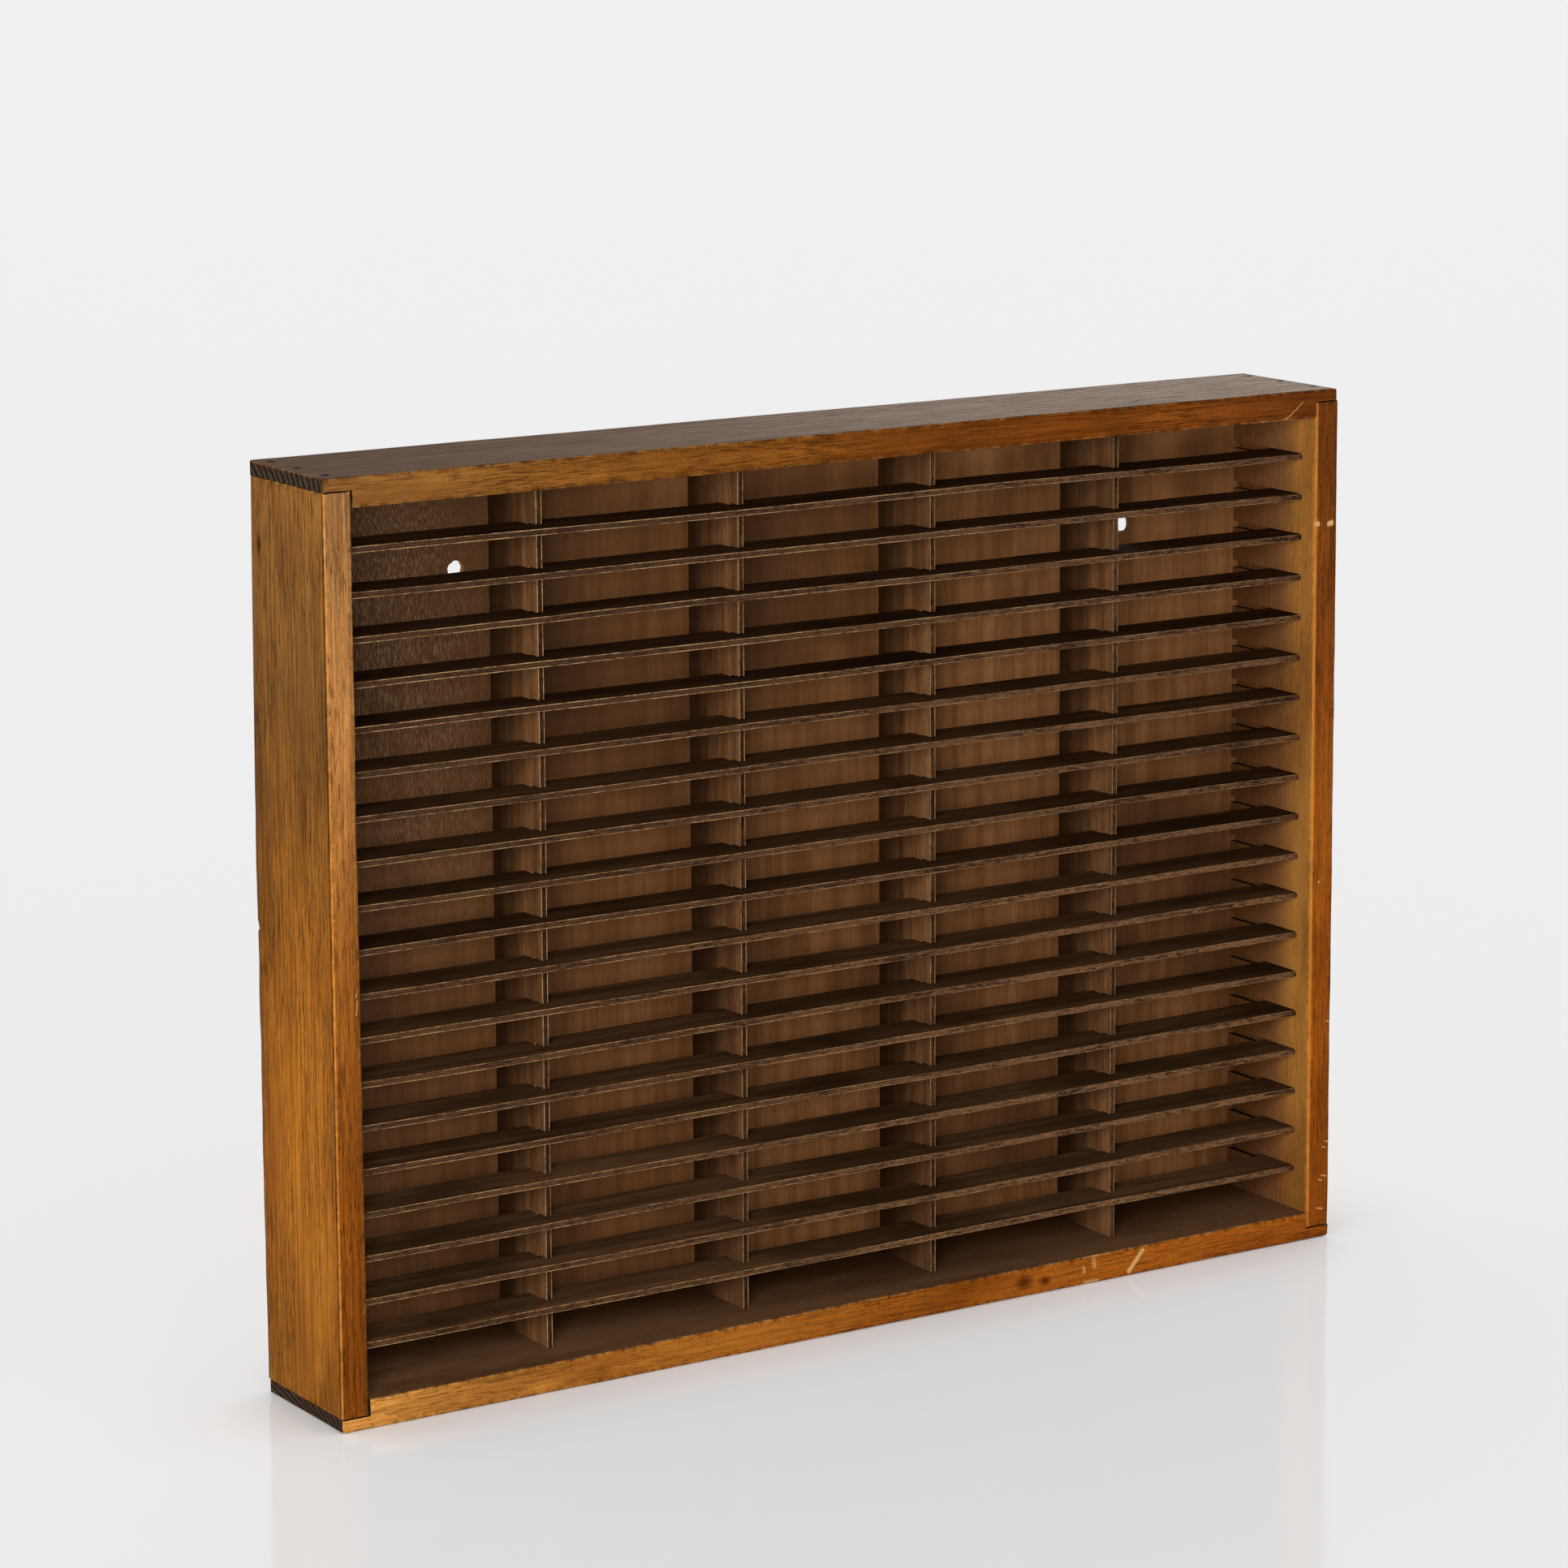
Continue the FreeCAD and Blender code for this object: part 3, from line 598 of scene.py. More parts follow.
def ply_edge_material(name, run, light, dark, broken, seed=0.0, faded=0.6):
    """A cut edge of one ply. run is the axis that the edge follows, broken is how patchy it looks, and
    faded is how much of its brightness is left at the right end of the case."""
    g = Graph(name)
    rag = g.noise(g.stretched(along(run, 190, 900), seed), detail=4, rough=0.75)
    long_rag = g.noise(g.stretched(along(run, 28, 200), seed + 4), detail=3, rough=0.6)
    crumb = g.noise(g.stretched((1400, 1400, 1400), seed + 2), detail=3, rough=0.7)
    amount = g.math("ADD", g.math("MULTIPLY", rag, 0.6), g.math("MULTIPLY", long_rag, 0.4))
    share = g.ramp(g.xyz[0], INNER_LEFT + 60 * MM, INNER_RIGHT - 60 * MM)
    share = g.math("ADD", share, g.math("MULTIPLY", g.math("SUBTRACT", long_rag, 0.5), 1.2), clamp=True)
    lit = g.mix(share, light, shade(light, faded))
    colour = g.mix(g.ramp(amount, broken - 0.09, broken + 0.09), lit, dark)
    colour = g.mix(g.ramp(crumb, 0.42, 0.68, 0.0, 0.7), colour, shade(dark, 0.3))
    height = g.math("ADD", rag, g.math("MULTIPLY", crumb, 0.8))
    return g.finish(colour, g.ramp(rag, 0.3, 0.7, 0.6, 0.85), height, 0.25 * MM, specular=0.03)


def nail_material():
    """Dull darkened steel with rust."""
    g = Graph("nail_steel")
    rust = g.noise(g.stretched((1100, 1100, 1100)), detail=4, rough=0.7)
    colour = g.mix(g.ramp(rust, 0.4, 0.62), (0.045, 0.038, 0.034), (0.085, 0.035, 0.015))
    g.shader.inputs["Metallic"].default_value = 0.6
    return g.finish(colour, g.ramp(rust, 0.3, 0.7, 0.45, 0.8), rust, 0.1 * MM)


# Stain colours from the left end, or the bottom, to the right end, or the top
TOP_FRONT = [(0.27, 0.120, 0.028), (0.25, 0.095, 0.014), (0.19, 0.056, 0.006), (0.21, 0.056, 0.005), (0.15, 0.038, 0.005)]
BOTTOM_FRONT = [(0.78, 0.36, 0.072), (0.33, 0.115, 0.014), (0.25, 0.072, 0.006), (0.31, 0.084, 0.006), (0.36, 0.092, 0.007)]
LEFT_FRONT = [(0.22, 0.061, 0.006), (0.28, 0.080, 0.006), (0.31, 0.105, 0.014), (0.37, 0.162, 0.042), (0.29, 0.138, 0.046)]
LEFT_FACE = [(0.35, 0.127, 0.011), (0.43, 0.148, 0.011), (0.33, 0.115, 0.009), (0.19, 0.078, 0.012), (0.32, 0.138, 0.024)]
RIGHT_FRONT = [(0.32, 0.080, 0.005), (0.34, 0.084, 0.005), (0.27, 0.072, 0.006), (0.19, 0.050, 0.005), (0.22, 0.060, 0.007)]
RIGHT_FACE = [(0.36, 0.120, 0.012), (0.40, 0.130, 0.012), (0.33, 0.108, 0.010), (0.37, 0.125, 0.014), (0.30, 0.110, 0.016)]
BROAD_FACE = [(0.30, 0.130, 0.034), (0.26, 0.098, 0.018), (0.30, 0.100, 0.014)]
# Dust on the top face, paler to the right for a painted sheen.
DUST_AND_SHEEN_TOP = [(0.24, 0.136, 0.077), (0.34, 0.193, 0.109), (0.45, 0.260, 0.148), (0.60, 0.410, 0.280)]
TAN_INSIDE = [(0.34, 0.140, 0.028), (0.40, 0.170, 0.030), (0.31, 0.130, 0.026), (0.33, 0.138, 0.026), (0.44, 0.190, 0.038)]
UMBER_INSIDE = [(0.16, 0.078, 0.033), (0.12, 0.058, 0.024), (0.15, 0.072, 0.030)]


# ---------------------------------------------------------------- frame boards

def gentle_warp(obj, amount, seed):
    """A slow waviness all over, with a little hand-worn raggedness."""
    def move(point):
        return wave(point, 9, seed) * amount + wave(point, 90, seed + 1) * amount * 0.35

    bend_vertices(obj, move)


def fine_lines(low, high, step):
    count = max(1, round((high - low) / step))
    return [low + (high - low) * i / count for i in range(count + 1)]


def make_cap(node, is_top):
    """The top or bottom board, with rabbeted ends, panel groove, divider dadoes and nail holes."""
    low, high = BOX[node]
    worn = 16 * MM
    ends = fine_lines(low.x, low.x + worn, 1.6 * MM) + fine_lines(high.x - worn, high.x, 1.6 * MM)
    depth_lines = fine_lines(low.y, low.y + 3 * MM, 0.8 * MM) + fine_lines(high.y - worn, high.y, 1.6 * MM)
    obj = rounded_block(node + "_wood", low, high, 0.9 * MM, 5 * MM, (ends, depth_lines, ()))
    inward_z = -1 if is_top else 1
    outer = high.z if is_top else low.z
    inner = low.z if is_top else high.z
    if is_top:
        round_corner(obj, (0, 1), (low.x, high.y), (1, -1), REAR_WEAR)
        round_corner(obj, (0, 1), (high.x, low.y), (-1, 1), 3 * MM)
        round_corner(obj, (0, 2), (high.x, high.z), (-1, -1), 3.5 * MM, 0.3)
        round_corner(obj, (0, 2), (low.x, high.z), (1, -1), 1.6 * MM, 0.3)
        round_corner(obj, (0, 1), (high.x, high.y), (-1, -1), 4 * MM)
    else:
        round_corner(obj, (0, 1), (low.x, high.y), (1, -1), 5 * MM)
        round_corner(obj, (0, 2), (high.x, low.z), (-1, 1), 3 * MM, 0.3)
        round_corner(obj, (0, 2), (low.x, low.z), (1, 1), 2 * MM, 0.3)
    round_corner(obj, (1, 2), (low.y, inner), (1, -inward_z), 1.7 * MM, 0.5)
    round_corner(obj, (1, 2), (low.y, outer), (1, inward_z), 1.5 * MM, 0.4)
    gentle_warp(obj, 0.22 * MM, 3 if is_top else 8)

    lap = SIDE_HIGH if is_top else SIDE_LOW
    far = inner + inward_z * 2 * MM
    cutter = Cutter()
    gap = (0.40 * MM, 0.15 * MM) if is_top else (0.45 * MM, 0.2 * MM)
    for side_low, side_high in ((low.x - MM, INNER_LEFT + gap[0]), (INNER_RIGHT - gap[1], high.x + MM)):
        levels = sorted((lap - inward_z * 0.35 * MM, far))
        cutter.box((side_low, low.y - MM, levels[0]), (side_high, high.y + MM, levels[1]))
    cutter.carve(obj)

    groove_far = inner - inward_z * GROOVE_DEPTH
    levels = sorted((inner + inward_z * MM, groove_far))
    cutter = Cutter()
    cutter.box((INNER_LEFT - MM, PANEL_LOW.y - GROOVE_PLAY, levels[0]),
               (INNER_RIGHT + MM, PANEL_HIGH.y + GROOVE_PLAY, levels[1]))
    cutter.carve(obj)

    cutter = Cutter()
    for divider in DIVIDERS:
        x = (BOX[divider][0].x + BOX[divider][1].x) / 2
        cutter.upright_slot(x, DIVIDER_LOW.y, PANEL_LOW.y, inner, -inward_z)
    for x in (-NAIL_OUT, NAIL_OUT):
        for step in (-1, 0, 1):
            y = step * NAIL_SPREAD
            head_far = outer + inward_z * 1.95 * MM
            cutter.rod((x, y, outer - inward_z * MM), (x, y, head_far), 1.65 * MM, 18, 0.25, step + x * 50)
            cutter.rod((x, y, head_far - inward_z * 0.05 * MM), (x, y, lap + inward_z * MM), 0.95 * MM, 12)
    cutter.carve(obj)
    return obj


REAR_WEAR = 6 * MM


def wear_rear_corner(obj, x, high):
    """Rounds the rear arris of the left side more and more towards its top, like the cap."""
    def move(point):
        rise = max(0.0, 1 - (high.z - point.z) / (260 * MM))
        radius = REAR_WEAR * rise
        away = Vector((radius - (point.x - x), radius - (high.y - point.y)))
        if radius <= 0 or min(away) <= 0 or away.length <= radius:
            return Vector()
        pull = away * (1 - radius / away.length)
        return Vector((pull.x, -pull.y, 0))

    bend_vertices(obj, move)


def make_side(node, is_right):
    """A side board with stopped dadoes and the panel groove."""
    low, high = BOX[node]
    front_lines = fine_lines(low.y, low.y + 4 * MM, 0.6 * MM)
    outward = 1 if is_right else -1
    inner = low.x if is_right else high.x
    outer = high.x if is_right else low.x
    thick_lines = fine_lines(inner, inner + outward * 4 * MM, 0.6 * MM)
    obj = rounded_block(node + "_wood", low, high, 0.7 * MM, 5 * MM, (thick_lines, front_lines, ()))
    round_corner(obj, (0, 1), (inner, low.y), (outward, 1), 2.6 * MM, 0.25)
    round_corner(obj, (0, 1), (outer, low.y), (-outward, 1), 1.5 * MM, 0.5)
    round_corner(obj, (0, 1), (outer, high.y), (-outward, -1), 2.4 * MM, 0.5)
    gentle_warp(obj, 0.2 * MM, 5 if is_right else 11)
    if not is_right:
        wear_rear_corner(obj, low.x, high)

    cutter = Cutter()
    xs = sorted((inner - outward * MM, inner + outward * GROOVE_DEPTH))
    cutter.box((xs[0], PANEL_LOW.y - GROOVE_PLAY, low.z - MM), (xs[1], PANEL_HIGH.y + GROOVE_PLAY, high.z + MM))
    cutter.carve(obj)
    cutter = Cutter()
    for shelf in SHELVES:
        bottom = BOX[shelf][0].z
        cutter.slot(inner, outward, SHELF_LOW.y, PANEL_LOW.y, bottom, bottom + DADO_WIDE)
    cutter.carve(obj)
    return obj


def front_spot(x, z):
    return Vector((x, FRONT, z))


def make_frame_boards():
    top = make_cap("top_board", True)
    bottom = make_cap("bottom_board", False)
    left = make_side("left_side", False)
    right = make_side("right_side", True)

    knot = Vector((CASE_LOW.x, REAR - 12 * MM, CASE_HIGH.z - 39 * MM))
    dent = Vector((CASE_LOW.x, REAR, 236 * MM))
    chips = Cutter()
    chips.chip(knot, (0.5 * MM, 1.2 * MM, 3.4 * MM), 4)
    chips.chip(dent, (2.2 * MM, 2.6 * MM, 3.0 * MM), 6)
    chips.carve(left)

    outer_chip = front_spot(CASE_HIGH.x - 5.4 * MM, CASE_HIGH.z - 72.4 * MM)
    inner_chip = front_spot(INNER_RIGHT + 1.6 * MM, CASE_HIGH.z - 72 * MM)
    chips = Cutter()
    chips.chip(outer_chip, (1.9 * MM, 0.5 * MM, 1.7 * MM), 9)
    chips.chip(inner_chip, (1.4 * MM, 0.8 * MM, 1.6 * MM), 12)
    chips.carve(right)

    gouge = front_spot(176.5 * MM, 12.6 * MM), front_spot(167.5 * MM, 2.6 * MM)
    nick = front_spot(138 * MM, INNER_BOTTOM), front_spot(147 * MM, INNER_BOTTOM)
    chips = Cutter()
    for step in range(7):
        chips.chip(gouge[0].lerp(gouge[1], step / 6), (1.5 * MM, 0.35 * MM, 1.6 * MM), step)
    for step in range(5):
        chips.chip(nick[0].lerp(nick[1], step / 4), (1.8 * MM, 0.5 * MM, 0.5 * MM), step + 20)
    chips.carve(bottom, overlapping=True)

    low_z, high_z = SIDE_LOW + MM, SIDE_HIGH - MM
    # Painted highlights run down the front arrises of the sides, where they catch the light.
    left_arris = Vector((CASE_LOW.x + 0.5 * MM, FRONT + 0.4 * MM, 0))
    # A painted shade line on the left face, just behind the front arris.
    left_arris_shade = Vector((CASE_LOW.x, FRONT + 1.7 * MM, 0))
    right_arris = Vector((INNER_RIGHT + 0.9 * MM, FRONT + 0.6 * MM, 0))
    up = Vector((0, 0, 1))
    # Painted shadow lines along the lap gaps, where the caps lie over the sides.
    lap_shadows = []
    for z in (SIDE_LOW, SIDE_HIGH):
        for x, way in ((CASE_LOW.x, 1), (CASE_HIGH.x, -1)):
            inner_x = INNER_LEFT if way > 0 else INNER_RIGHT
            lap_shadows.append((Vector((x + way * 0.8 * MM, FRONT, z)), Vector((inner_x, FRONT, z)), 0.50 * MM))
    scratches = [(front_spot(278 * MM, 459 * MM), front_spot(269 * MM, 452 * MM), 0.24 * MM, 0.55),
                 (front_spot(270 * MM, 452.5 * MM), front_spot(258 * MM, 447.5 * MM), 0.26 * MM, 0.55)]
    for step in range(5):
        start = 238 * MM + step * 6.5 * MM
        scratches.append((front_spot(start, INNER_TOP), front_spot(start + 4 * MM, INNER_TOP), 0.6 * MM, 0.8))
    left_scars = []
    for height, length in ((58, 6), (66, 4), (75, 3), (174, 4), (206, 7), (215, 3), (262, 2), (401, 3)):
        spot = front_spot(INNER_LEFT - (1 + height % 3) * MM, height * MM)
        left_scars.append((spot, spot + Vector((0.9 * MM, 0, length * MM)), 0.35 * MM, 0.7))
    right_scars = [(outer_chip, outer_chip + Vector((1.4 * MM, 0, 0.4 * MM)), 1.5 * MM, 1.0),
                   (inner_chip, inner_chip + Vector((0.4 * MM, 0, 0)), 1.4 * MM, 1.0)]
    for height, out, length in ((50, 3, 1.5), (53, 1, 2), (34, 2, 3), (32, 5, 2), (16, 4, 4), (120, 1, 2), (198, 9, 1)):
        spot = front_spot(CASE_HIGH.x - out * MM, height * MM)
        right_scars.append((spot, spot + Vector((-length * MM, 0, 0.8 * MM)), 0.4 * MM, 0.75))
    bottom_scars = [(gouge[0], gouge[1], 1.25 * MM, 0.95), (nick[0], nick[1], 0.6 * MM, 0.9),
                    (front_spot(144.5 * MM, 13 * MM), front_spot(145 * MM, 9 * MM), 1.3 * MM, 0.45),
                    (front_spot(138 * MM, 9.5 * MM), front_spot(138.5 * MM, 7 * MM), 0.9 * MM, 0.5),
                    (front_spot(139 * MM, 1.2 * MM), front_spot(147 * MM, 1.2 * MM), 0.8 * MM, 0.6)]

    plans = [
        (top, "top_board", 0, (0.090, CASE_HIGH.z - 0.07), 4.4 * MM, TOP_FRONT, BROAD_FACE, UMBER_INSIDE, (2, -1),
         {"greyed": 0.95, "arris": 0.25, "figure": 0.28, "pores": 0.6, "nailed": True, "scars": scratches, "gap_shadows": lap_shadows}),
        (bottom, "bottom_board", 0, (0.05, -0.12), 3.0 * MM, BOTTOM_FRONT, BROAD_FACE, UMBER_INSIDE, (2, 1),
         {"arris": 0.35, "figure": 0.12, "pores": 0.35, "nailed": True, "scars": bottom_scars, "gap_shadows": lap_shadows,
          "smudges": [(front_spot(99.6 * MM, 8 * MM), (4.5 * MM, 3 * MM, 3.4 * MM), 0.9),
                      (front_spot(113 * MM, 6.5 * MM), (3.2 * MM, 3 * MM, 2.2 * MM), 0.9)]}),
        (left, "left_side", 2, (CASE_LOW.x - 0.11, 0.10), 2.8 * MM, LEFT_FRONT, LEFT_FACE, TAN_INSIDE, (0, 1),
         {"arris": 0.35, "scars": left_scars, "strips": [(left_arris + up * low_z, left_arris + up * high_z, 0.45 * MM, 0.45)],
          "gap_shadows": lap_shadows + [(left_arris_shade + up * low_z, left_arris_shade + up * high_z, 0.32 * MM)],
          "smudges": [(knot, (3 * MM, 2.2 * MM, 4.4 * MM), 1.0)]}),
        (right, "right_side", 2, (CASE_HIGH.x + 0.08, -0.11), 2.8 * MM, RIGHT_FRONT, RIGHT_FACE, TAN_INSIDE, (0, -1),
         {"arris": 0.25, "figure": 0.15, "pores": 0.45, "scars": right_scars, "gap_shadows": lap_shadows,
          "strips": [(right_arris + up * low_z, right_arris + up * high_z, 0.8 * MM, 0.6)]}),
    ]
    for seed, (obj, node, grain, pith, ring, front, outer, inside, way, extras) in enumerate(plans):
        material = board_material(
            node + "_pine", BOX[node], grain, pith, ring, front, outer, inside, way, seed=seed * 3.3, **extras)
        obj.data.materials.clear()
        obj.data.materials.append(material)
        smooth_shaded(obj)
        place(obj, "pine_frame", node)


# ---------------------------------------------------------------- plywood

VENEER = 0.44 * MM


def ply_levels():
    """Heights through a sheet and how far the edge is set back at each: two face veneers that stand
    a hair proud of a rougher core, with softened arrises."""
    soft = 0.12 * MM
    return [
        (0.0, 0.14 * MM), (soft, 0.0), (VENEER - 0.08 * MM, 0.0), (VENEER, 0.16 * MM),
        (PLY - VENEER, 0.16 * MM), (PLY - VENEER + 0.08 * MM, 0.0), (PLY - soft, 0.0), (PLY, 0.14 * MM)]


def marked_lines(low, high, step, marks):
    """Grid lines from low to high about step apart, with every mark on a line of its own."""
    stops = sorted({low, high, *[m for m in marks if low < m < high]})
    lines = [low]
    for start, end in zip(stops, stops[1:]):
        count = max(1, round((end - start) / step))
        lines += [start + (end - start) * i / count for i in range(1, count + 1)]
    return lines


def ply_sheet(name, us, vs, is_open, to_frame, rag, seed):
    """A plywood sheet on a grid of lines. is_open(u, v) says where a notch leaves nothing, to_frame
    turns (u, v, w) into a point, and rag is how ragged the cut edges are, in metres."""
    levels = ply_levels()
    top = len(levels) - 1
    cells = {(i, j) for i in range(len(us) - 1) for j in range(len(vs) - 1)
             if not is_open((us[i] + us[i + 1]) / 2, (vs[j] + vs[j + 1]) / 2)}
    index, verts, faces, slots = {}, [], [], []

    def vertex(i, j, level):
        key = (i, j, level)
        if key in index:
            return index[key]
        around = [(i + di, j + dj) in cells for dj in (-1, 0) for di in (-1, 0)]
        inward = Vector((sum((-1, 1, -1, 1)[n] for n in range(4) if around[n]),
                         sum((-1, -1, 1, 1)[n] for n in range(4) if around[n])))
        w, back = levels[level]
        u, v = us[i], vs[j]
        if not all(around) and inward.length:
            inward = Vector((max(-1, min(1, inward.x)), max(-1, min(1, inward.y))))
            spot = Vector((u, v, w))
            fray = abs(noise.noise(spot * 330 + Vector((seed * 5.1, level * 2.3, 0))))
            nick = max(0.0, noise.noise(spot * 95 + Vector((0, seed * 3.7, level // 4 * 9.1))) - 0.42)
            back += rag * fray + rag * 9 * nick
            u += inward.x * back
            v += inward.y * back
        index[key] = len(verts)
        verts.append(to_frame(u, v, w))
        return index[key]

    for i, j in sorted(cells):
        for level in (0, top):
            ring = [vertex(i, j, level), vertex(i + 1, j, level),
                    vertex(i + 1, j + 1, level), vertex(i, j + 1, level)]
            faces.append(ring if level else ring[::-1])
            slots.append(0)
        sides = (((0, -1), (i, j), (i + 1, j)), ((1, 0), (i + 1, j), (i + 1, j + 1)),
                 ((0, 1), (i + 1, j + 1), (i, j + 1)), ((-1, 0), (i, j + 1), (i, j)))
        for (di, dj), a, b in sides:
            if (i + di, j + dj) in cells:
                continue
            for level in range(top):
                faces.append([vertex(*a, level), vertex(*b, level), vertex(*b, level + 1), vertex(*a, level + 1)])
                slots.append(2 if 3 <= level < top - 3 else 1)
    obj = mesh_object(name, verts, faces, slots)
    bm = bmesh.new()
    bm.from_mesh(obj.data)
    bmesh.ops.recalc_face_normals(bm, faces=bm.faces)
    bm.to_mesh(obj.data)
    bm.free()
    return obj


def dress(obj, materials, slot, node):
    for material in materials:
        obj.data.materials.append(material)
    smooth_shaded(obj, 25)
    place(obj, slot, node)


def make_shelves(materials):
    """Nineteen strips, each notched from behind and bent a little in its own way."""
    half_notch = PLY / 2 + 0.2 * MM
    middles = [(BOX[d][0].x + BOX[d][1].x) / 2 for d in DIVIDERS]
    marks = [m + s * half_notch for m in middles for s in (-1, 1)]
    notch_start = LAP_LINE - 0.1 * MM

    def is_open(u, v):
        return v > notch_start and any(abs(u - m) < half_notch for m in middles)

    for number, node in enumerate(SHELVES):
        low, high = BOX[node]
        us = marked_lines(low.x, high.x, 4.5 * MM, marks)
        vs = marked_lines(low.y, high.y, 9 * MM, [low.y + 0.5 * MM, notch_start, high.y - 0.5 * MM])

        def to_frame(u, v, w, number=number, low=low):
            free = min(1.0, (INNER_RIGHT - abs(u)) / (60 * MM)) if abs(u) < INNER_RIGHT else 0.0
            lift = noise.noise(Vector((u * 5.5, v * 6, number * 4.7))) * 0.75 * MM
            ripple = noise.noise(Vector((u * 34, v * 20, number * 2.9))) * 0.12 * MM
            creep = noise.noise(Vector((u * 7, 0.3, number * 6.1))) * 0.35 * MM
            return Vector((u, v + creep * free, low.z + w + (lift + ripple) * free))

        obj = ply_sheet(node + "_ply", us, vs, is_open, to_frame, 0.10 * MM, number)
        dress(obj, materials[number * len(materials) // len(SHELVES)], "plywood_shelf", node)


def make_dividers(materials):
    """Four uprights, notched from the front for the shelves, slightly bowed."""
    slack = 0.45 * MM
    spans = [(BOX[s][0].z - slack, BOX[s][1].z + slack) for s in SHELVES]
    marks = [z for span in spans for z in span]
    notch_end = LAP_LINE + 0.1 * MM

    def is_open(u, v):
        return v < notch_end and any(a < u < b for a, b in spans)

    for number, node in enumerate(DIVIDERS):
        low, high = BOX[node]
        us = marked_lines(low.z, high.z, 4.5 * MM, marks)
        vs = marked_lines(low.y, high.y, 9 * MM, [low.y + 0.5 * MM, notch_end, high.y - 0.5 * MM])

        def to_frame(u, v, w, number=number, low=low):
            bow = noise.noise(Vector((number * 5.3, u * 3.5, 0.4))) * 0.9 * MM
            free = math.sin(math.pi * min(1.0, max(0.0, (u - INNER_BOTTOM) / (INNER_TOP - INNER_BOTTOM))))
            ripple = noise.noise(Vector((u * 30, v * 20, number * 3.3))) * 0.10 * MM
            return Vector((low.x + w + bow * free * 0.35 + ripple, v, u))

        obj = ply_sheet(node + "_ply", us, vs, is_open, to_frame, 0.08 * MM, 40 + number)
        dress(obj, materials, "plywood_divider", node)


def make_back(materials):
    """The back panel, with its two hand-drilled hanging holes."""
    low, high = PANEL_LOW, PANEL_HIGH
    us = marked_lines(low.x, high.x, 9 * MM, ())
    vs = marked_lines(low.z, high.z, 9 * MM, ())

    def to_frame(u, v, w):
        inside = min(u - low.x, high.x - u, v - low.z, high.z - v)
        free = min(1.0, inside / (70 * MM))
        swell = noise.noise(Vector((u * 4, v * 5, 1.7))) * 0.5 * MM
        return Vector((u, low.y + w + swell * free, v))

    obj = ply_sheet("back_panel_ply", us, vs, lambda u, v: False, to_frame, 0.05 * MM, 77)
    cutter = Cutter()
    for number, hole in enumerate(HANGING_HOLES):
        x, y, z = hole["pos_m"]
        radius = hole["dims"]["r_mm"] * MM
        cutter.rod((x, y - 5 * MM, z), (x, y + 5 * MM, z), radius, 40, 0.16, number * 3)
    cutter.carve(obj)
    dress(obj, materials, "plywood_back", "back_panel")


# ---------------------------------------------------------------- nails

def make_nails(node, is_top, material):
    """Six wire nails turned from one profile: a slightly domed head, a shank and a point."""
    low, high = BOX[node]
    down = -1 if is_top else 1
    start = high.z if is_top else low.z
    profile = [(0.0, -0.02), (0.9, 0.02), (1.38, 0.16), (1.5, 0.38), (1.42, 0.75), (0.95, 0.9),
               (0.9, 1.4), (0.9, 26.2), (0.62, 27.3), (0.25, 28.3), (0.0, 28.85)]
    sides = 20
    verts, faces = [], []
    for x in (-NAIL_OUT, NAIL_OUT):
        for step in (-1, 0, 1):
            base = len(verts)
            tilt = 0.05 * noise.noise(Vector((x * 31, step * 1.7, 0.4)))
            for radius, depth in profile:
                for side in range(sides):
                    angle = 2 * math.pi * side / sides
                    lean = tilt * radius * math.cos(angle)
                    verts.append((x + radius * MM * math.cos(angle),
                                  step * NAIL_SPREAD + radius * MM * math.sin(angle),
                                  start + down * (depth + lean) * MM))
            for ring in range(len(profile) - 1):
                for side in range(sides):
                    a, b = base + ring * sides + side, base + ring * sides + (side + 1) % sides
                    faces.append((a, b, b + sides, a + sides))
    obj = mesh_object(node + "_steel", verts, faces)
    bm = bmesh.new()
    bm.from_mesh(obj.data)
    bmesh.ops.remove_doubles(bm, verts=bm.verts, dist=0.001 * MM)
    bmesh.ops.dissolve_degenerate(bm, edges=bm.edges, dist=0.0005 * MM)
    bmesh.ops.recalc_face_normals(bm, faces=bm.faces)
    bm.to_mesh(obj.data)
    bm.free()
    obj.data.materials.append(material)
    smooth_shaded(obj)
    place(obj, "nail_steel", node)


# ---------------------------------------------------------------- stage, light, camera

SKY_LIGHT = 0.28
HORIZON_LIGHT = 0.70
FLOOR_GLOW = 0.52
CONTACT_REACH = 110 * MM
CONTACT_SHADE = 0.75


def make_floor():
    """A glossy white acrylic floor that glows a little, so that it stays pale and even, but for a painted contact
    shadow where its glow dims near the case.
    """
    g = Graph("floor_pale")
    soft = g.noise(g.stretched((3, 3, 3)), detail=2)
    colour = g.mix(soft, (0.745, 0.745, 0.745), (0.75, 0.75, 0.75))
    g.shader.inputs["Emission Color"].default_value = (1.0, 1.0, 1.0, 1.0)
    # Painted contact shadow: ambient occlusion dims the glow near the case.
    shelter = g.add("ShaderNodeAmbientOcclusion", samples=12)
    shelter.inputs["Distance"].default_value = CONTACT_REACH
    glow = g.ramp(shelter.outputs["AO"], 0.0, 1.0, FLOOR_GLOW * (1 - CONTACT_SHADE), FLOOR_GLOW)
    g.link(glow, g.shader.inputs["Emission Strength"])
    g.shader.inputs["Metallic"].default_value = 0.19
    material = g.finish(colour, 0.09, soft, 0.0, specular=0.0)
    side = 40.0
    floor = mesh_object("floor", [(-side, -side, 0), (side, -side, 0), (side, side, 0), (-side, side, 0)],
                        [(0, 1, 2, 3)])
    floor.data.materials.append(material)
    return floor


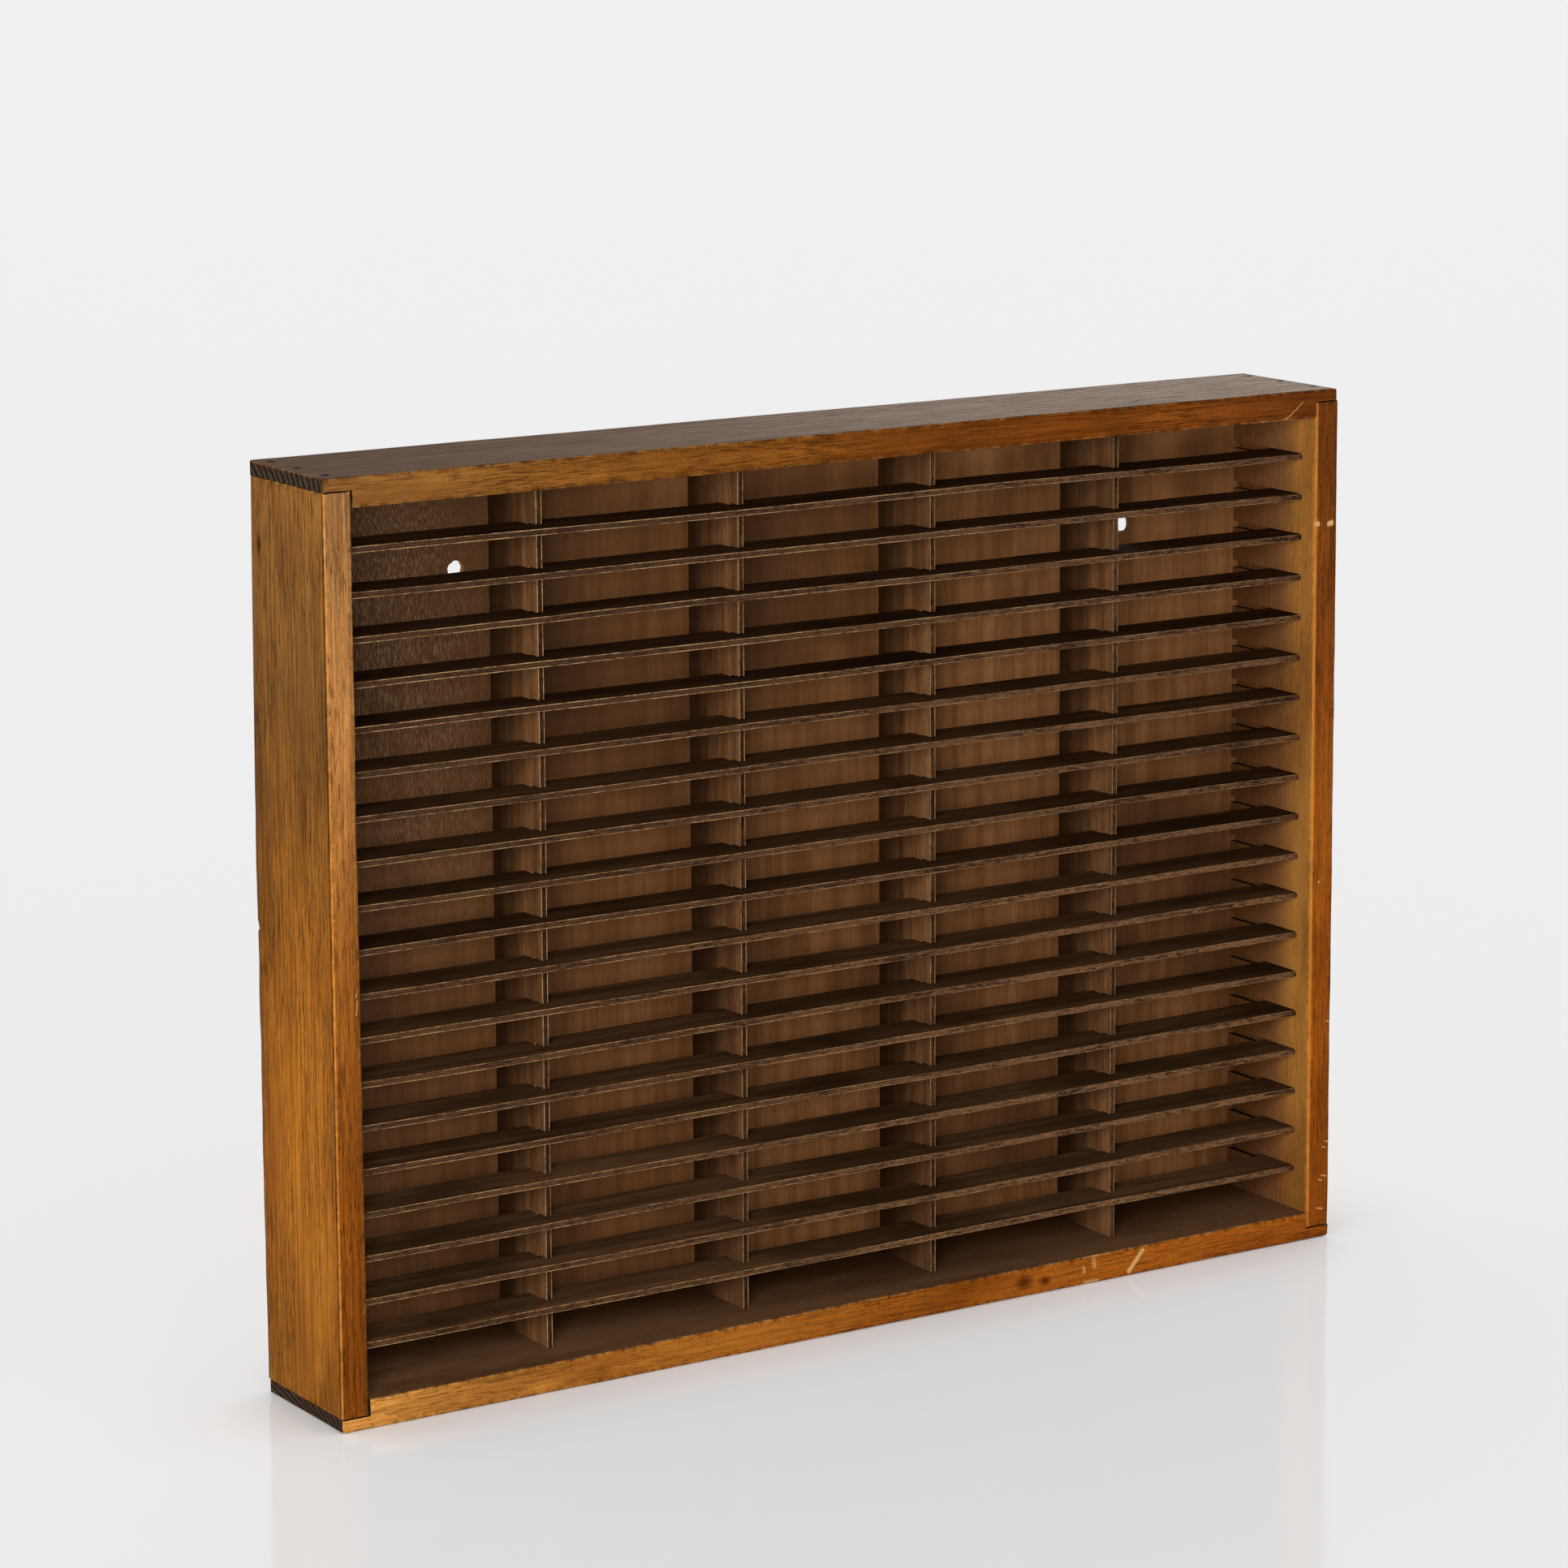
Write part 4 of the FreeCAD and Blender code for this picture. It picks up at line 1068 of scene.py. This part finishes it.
def area_light(name, position, size, power, colour, unlit):
    """A softbox that faces the case. It lights everything but the objects in the unlit collection."""
    data = bpy.data.lights.new(name, "AREA")
    data.shape = "RECTANGLE"
    data.size, data.size_y = size
    data.energy = power
    data.color = colour
    lamp = bpy.data.objects.new(name, data)
    lamp.location = position
    lamp.rotation_euler = (CENTRE - Vector(position)).to_track_quat("-Z", "Y").to_euler()
    lamp.visible_camera = False
    lamp.light_linking.receiver_collection = unlit
    bpy.context.scene.collection.objects.link(lamp)


def make_light(floor):
    world = bpy.data.worlds.new("studio")
    world.use_nodes = True
    background = world.node_tree.nodes["Background"]
    background.inputs["Color"].default_value = (1.0, 1.0, 1.0, 1)
    tree = world.node_tree
    upward = tree.nodes.new("ShaderNodeSeparateXYZ")
    tree.links.new(tree.nodes.new("ShaderNodeTexCoord").outputs["Generated"], upward.inputs[0])
    fall = tree.nodes.new("ShaderNodeMapRange")
    fall.interpolation_type = "SMOOTHSTEP"
    for key, value in (("From Min", 0.30), ("From Max", 0.65), ("To Min", HORIZON_LIGHT), ("To Max", SKY_LIGHT)):
        fall.inputs[key].default_value = value
    tree.links.new(upward.outputs["Z"], fall.inputs["Value"])
    tree.links.new(fall.outputs[0], background.inputs["Strength"])
    bpy.context.scene.world = world
    unlit = bpy.data.collections.new("unlit")
    unlit.objects.link(floor)
    unlit.collection_objects[0].light_linking.link_state = "EXCLUDE"
    area_light("key", CENTRE + Vector((-1.15, -1.35, 0.45)), (0.7, 0.7), 26, (1.0, 0.95, 0.88), unlit)
    area_light("rim", CENTRE + Vector((1.75, 1.95, 0.75)), (1.0, 0.8), 8, (1.0, 0.98, 0.96), unlit)
    bpy.context.scene.view_settings.view_transform = "Standard"


def make_camera():
    """A long lens from the front left and a little above, as far off as the perspective shows. Part of
    its look down comes from a small lens shift, which keeps the uprights nearly parallel."""
    distance, azimuth, elevation = 2.618, math.radians(-32.90), math.radians(12.51)
    heading, tilt, roll = math.radians(-32.49), math.radians(9.74), math.radians(-0.32)
    data = bpy.data.cameras.new("camera")
    camera = bpy.data.objects.new("camera", data)
    bpy.context.scene.collection.objects.link(camera)
    toward = Vector((math.sin(azimuth) * math.cos(elevation),
                     -math.cos(azimuth) * math.cos(elevation), math.sin(elevation)))
    camera.location = CENTRE + toward * distance
    turn = Matrix.Rotation(heading, 3, "Z") @ Matrix.Rotation(math.pi / 2 - tilt, 3, "X")
    camera.rotation_euler = (turn @ Matrix.Rotation(roll, 3, "Z")).to_euler()
    data.sensor_width = 36
    data.lens = 117.2
    data.shift_y = -0.101
    data.clip_start, data.clip_end = 0.05, 200
    bpy.context.scene.camera = camera


# ---------------------------------------------------------------- build

make_camera()
make_light(make_floor())
make_frame_boards()

# Four sets for the shelves, from the dark, pale-edged ones at the top to the browner ones below. The darker
# faces of the upper sets are painted shade, for the shadow that the shelf above casts on each.
shelf_sets = []
for level, face, veneer, core in (
        (0, (0.075, 0.034, 0.015), (0.50, 0.31, 0.15), (0.065, 0.031, 0.015)),
        (1, (0.105, 0.049, 0.021), (0.40, 0.24, 0.11), (0.075, 0.036, 0.017)),
        (2, (0.130, 0.062, 0.027), (0.42, 0.24, 0.105), (0.090, 0.043, 0.020)),
        (3, (0.175, 0.086, 0.038), (0.42, 0.24, 0.105), (0.100, 0.048, 0.022))):
    shelf_sets.append([
        veneer_material(f"shelf_face_{level}", 0, face, shade(face, 0.45), shade(face, 0.16), 2.0 + level * 4.1),
        ply_edge_material(f"shelf_veneer_edge_{level}", 0, veneer, (0.10, 0.048, 0.022), 0.51, 6.0 + level * 3.7),
        ply_edge_material(f"shelf_core_edge_{level}", 0, core, (0.030, 0.014, 0.007), 0.52, 9.0 + level * 2.3, 2.3)])
make_shelves(shelf_sets)
# The divider faces carry a painted shade that darkens them towards the back.
make_dividers([
    veneer_material("divider_face", 2, (0.330, 0.158, 0.066), (0.150, 0.066, 0.027), (0.070, 0.032, 0.013), 31.0,
                    painted_depth_shade=0.85),
    ply_edge_material("divider_veneer_edge", 2, (0.46, 0.28, 0.14), (0.13, 0.066, 0.030), 0.55, 33.0),
    ply_edge_material("divider_core_edge", 2, (0.055, 0.026, 0.012), (0.022, 0.010, 0.005), 0.50, 35.0, 2.3)])
make_back([
    veneer_material("back_face", 2, (0.430, 0.188, 0.070), (0.270, 0.112, 0.039), (0.080, 0.034, 0.014), 51.0,
                    streaks=0.45, ticks=(0.95, 0.12)),
    ply_edge_material("back_veneer_edge", 2, (0.30, 0.17, 0.08), (0.09, 0.046, 0.022), 0.5, 53.0),
    ply_edge_material("back_core_edge", 2, (0.12, 0.064, 0.030), (0.03, 0.015, 0.008), 0.5, 55.0)])
steel = nail_material()
make_nails("top_nails", True, steel)
make_nails("bottom_nails", False, steel)
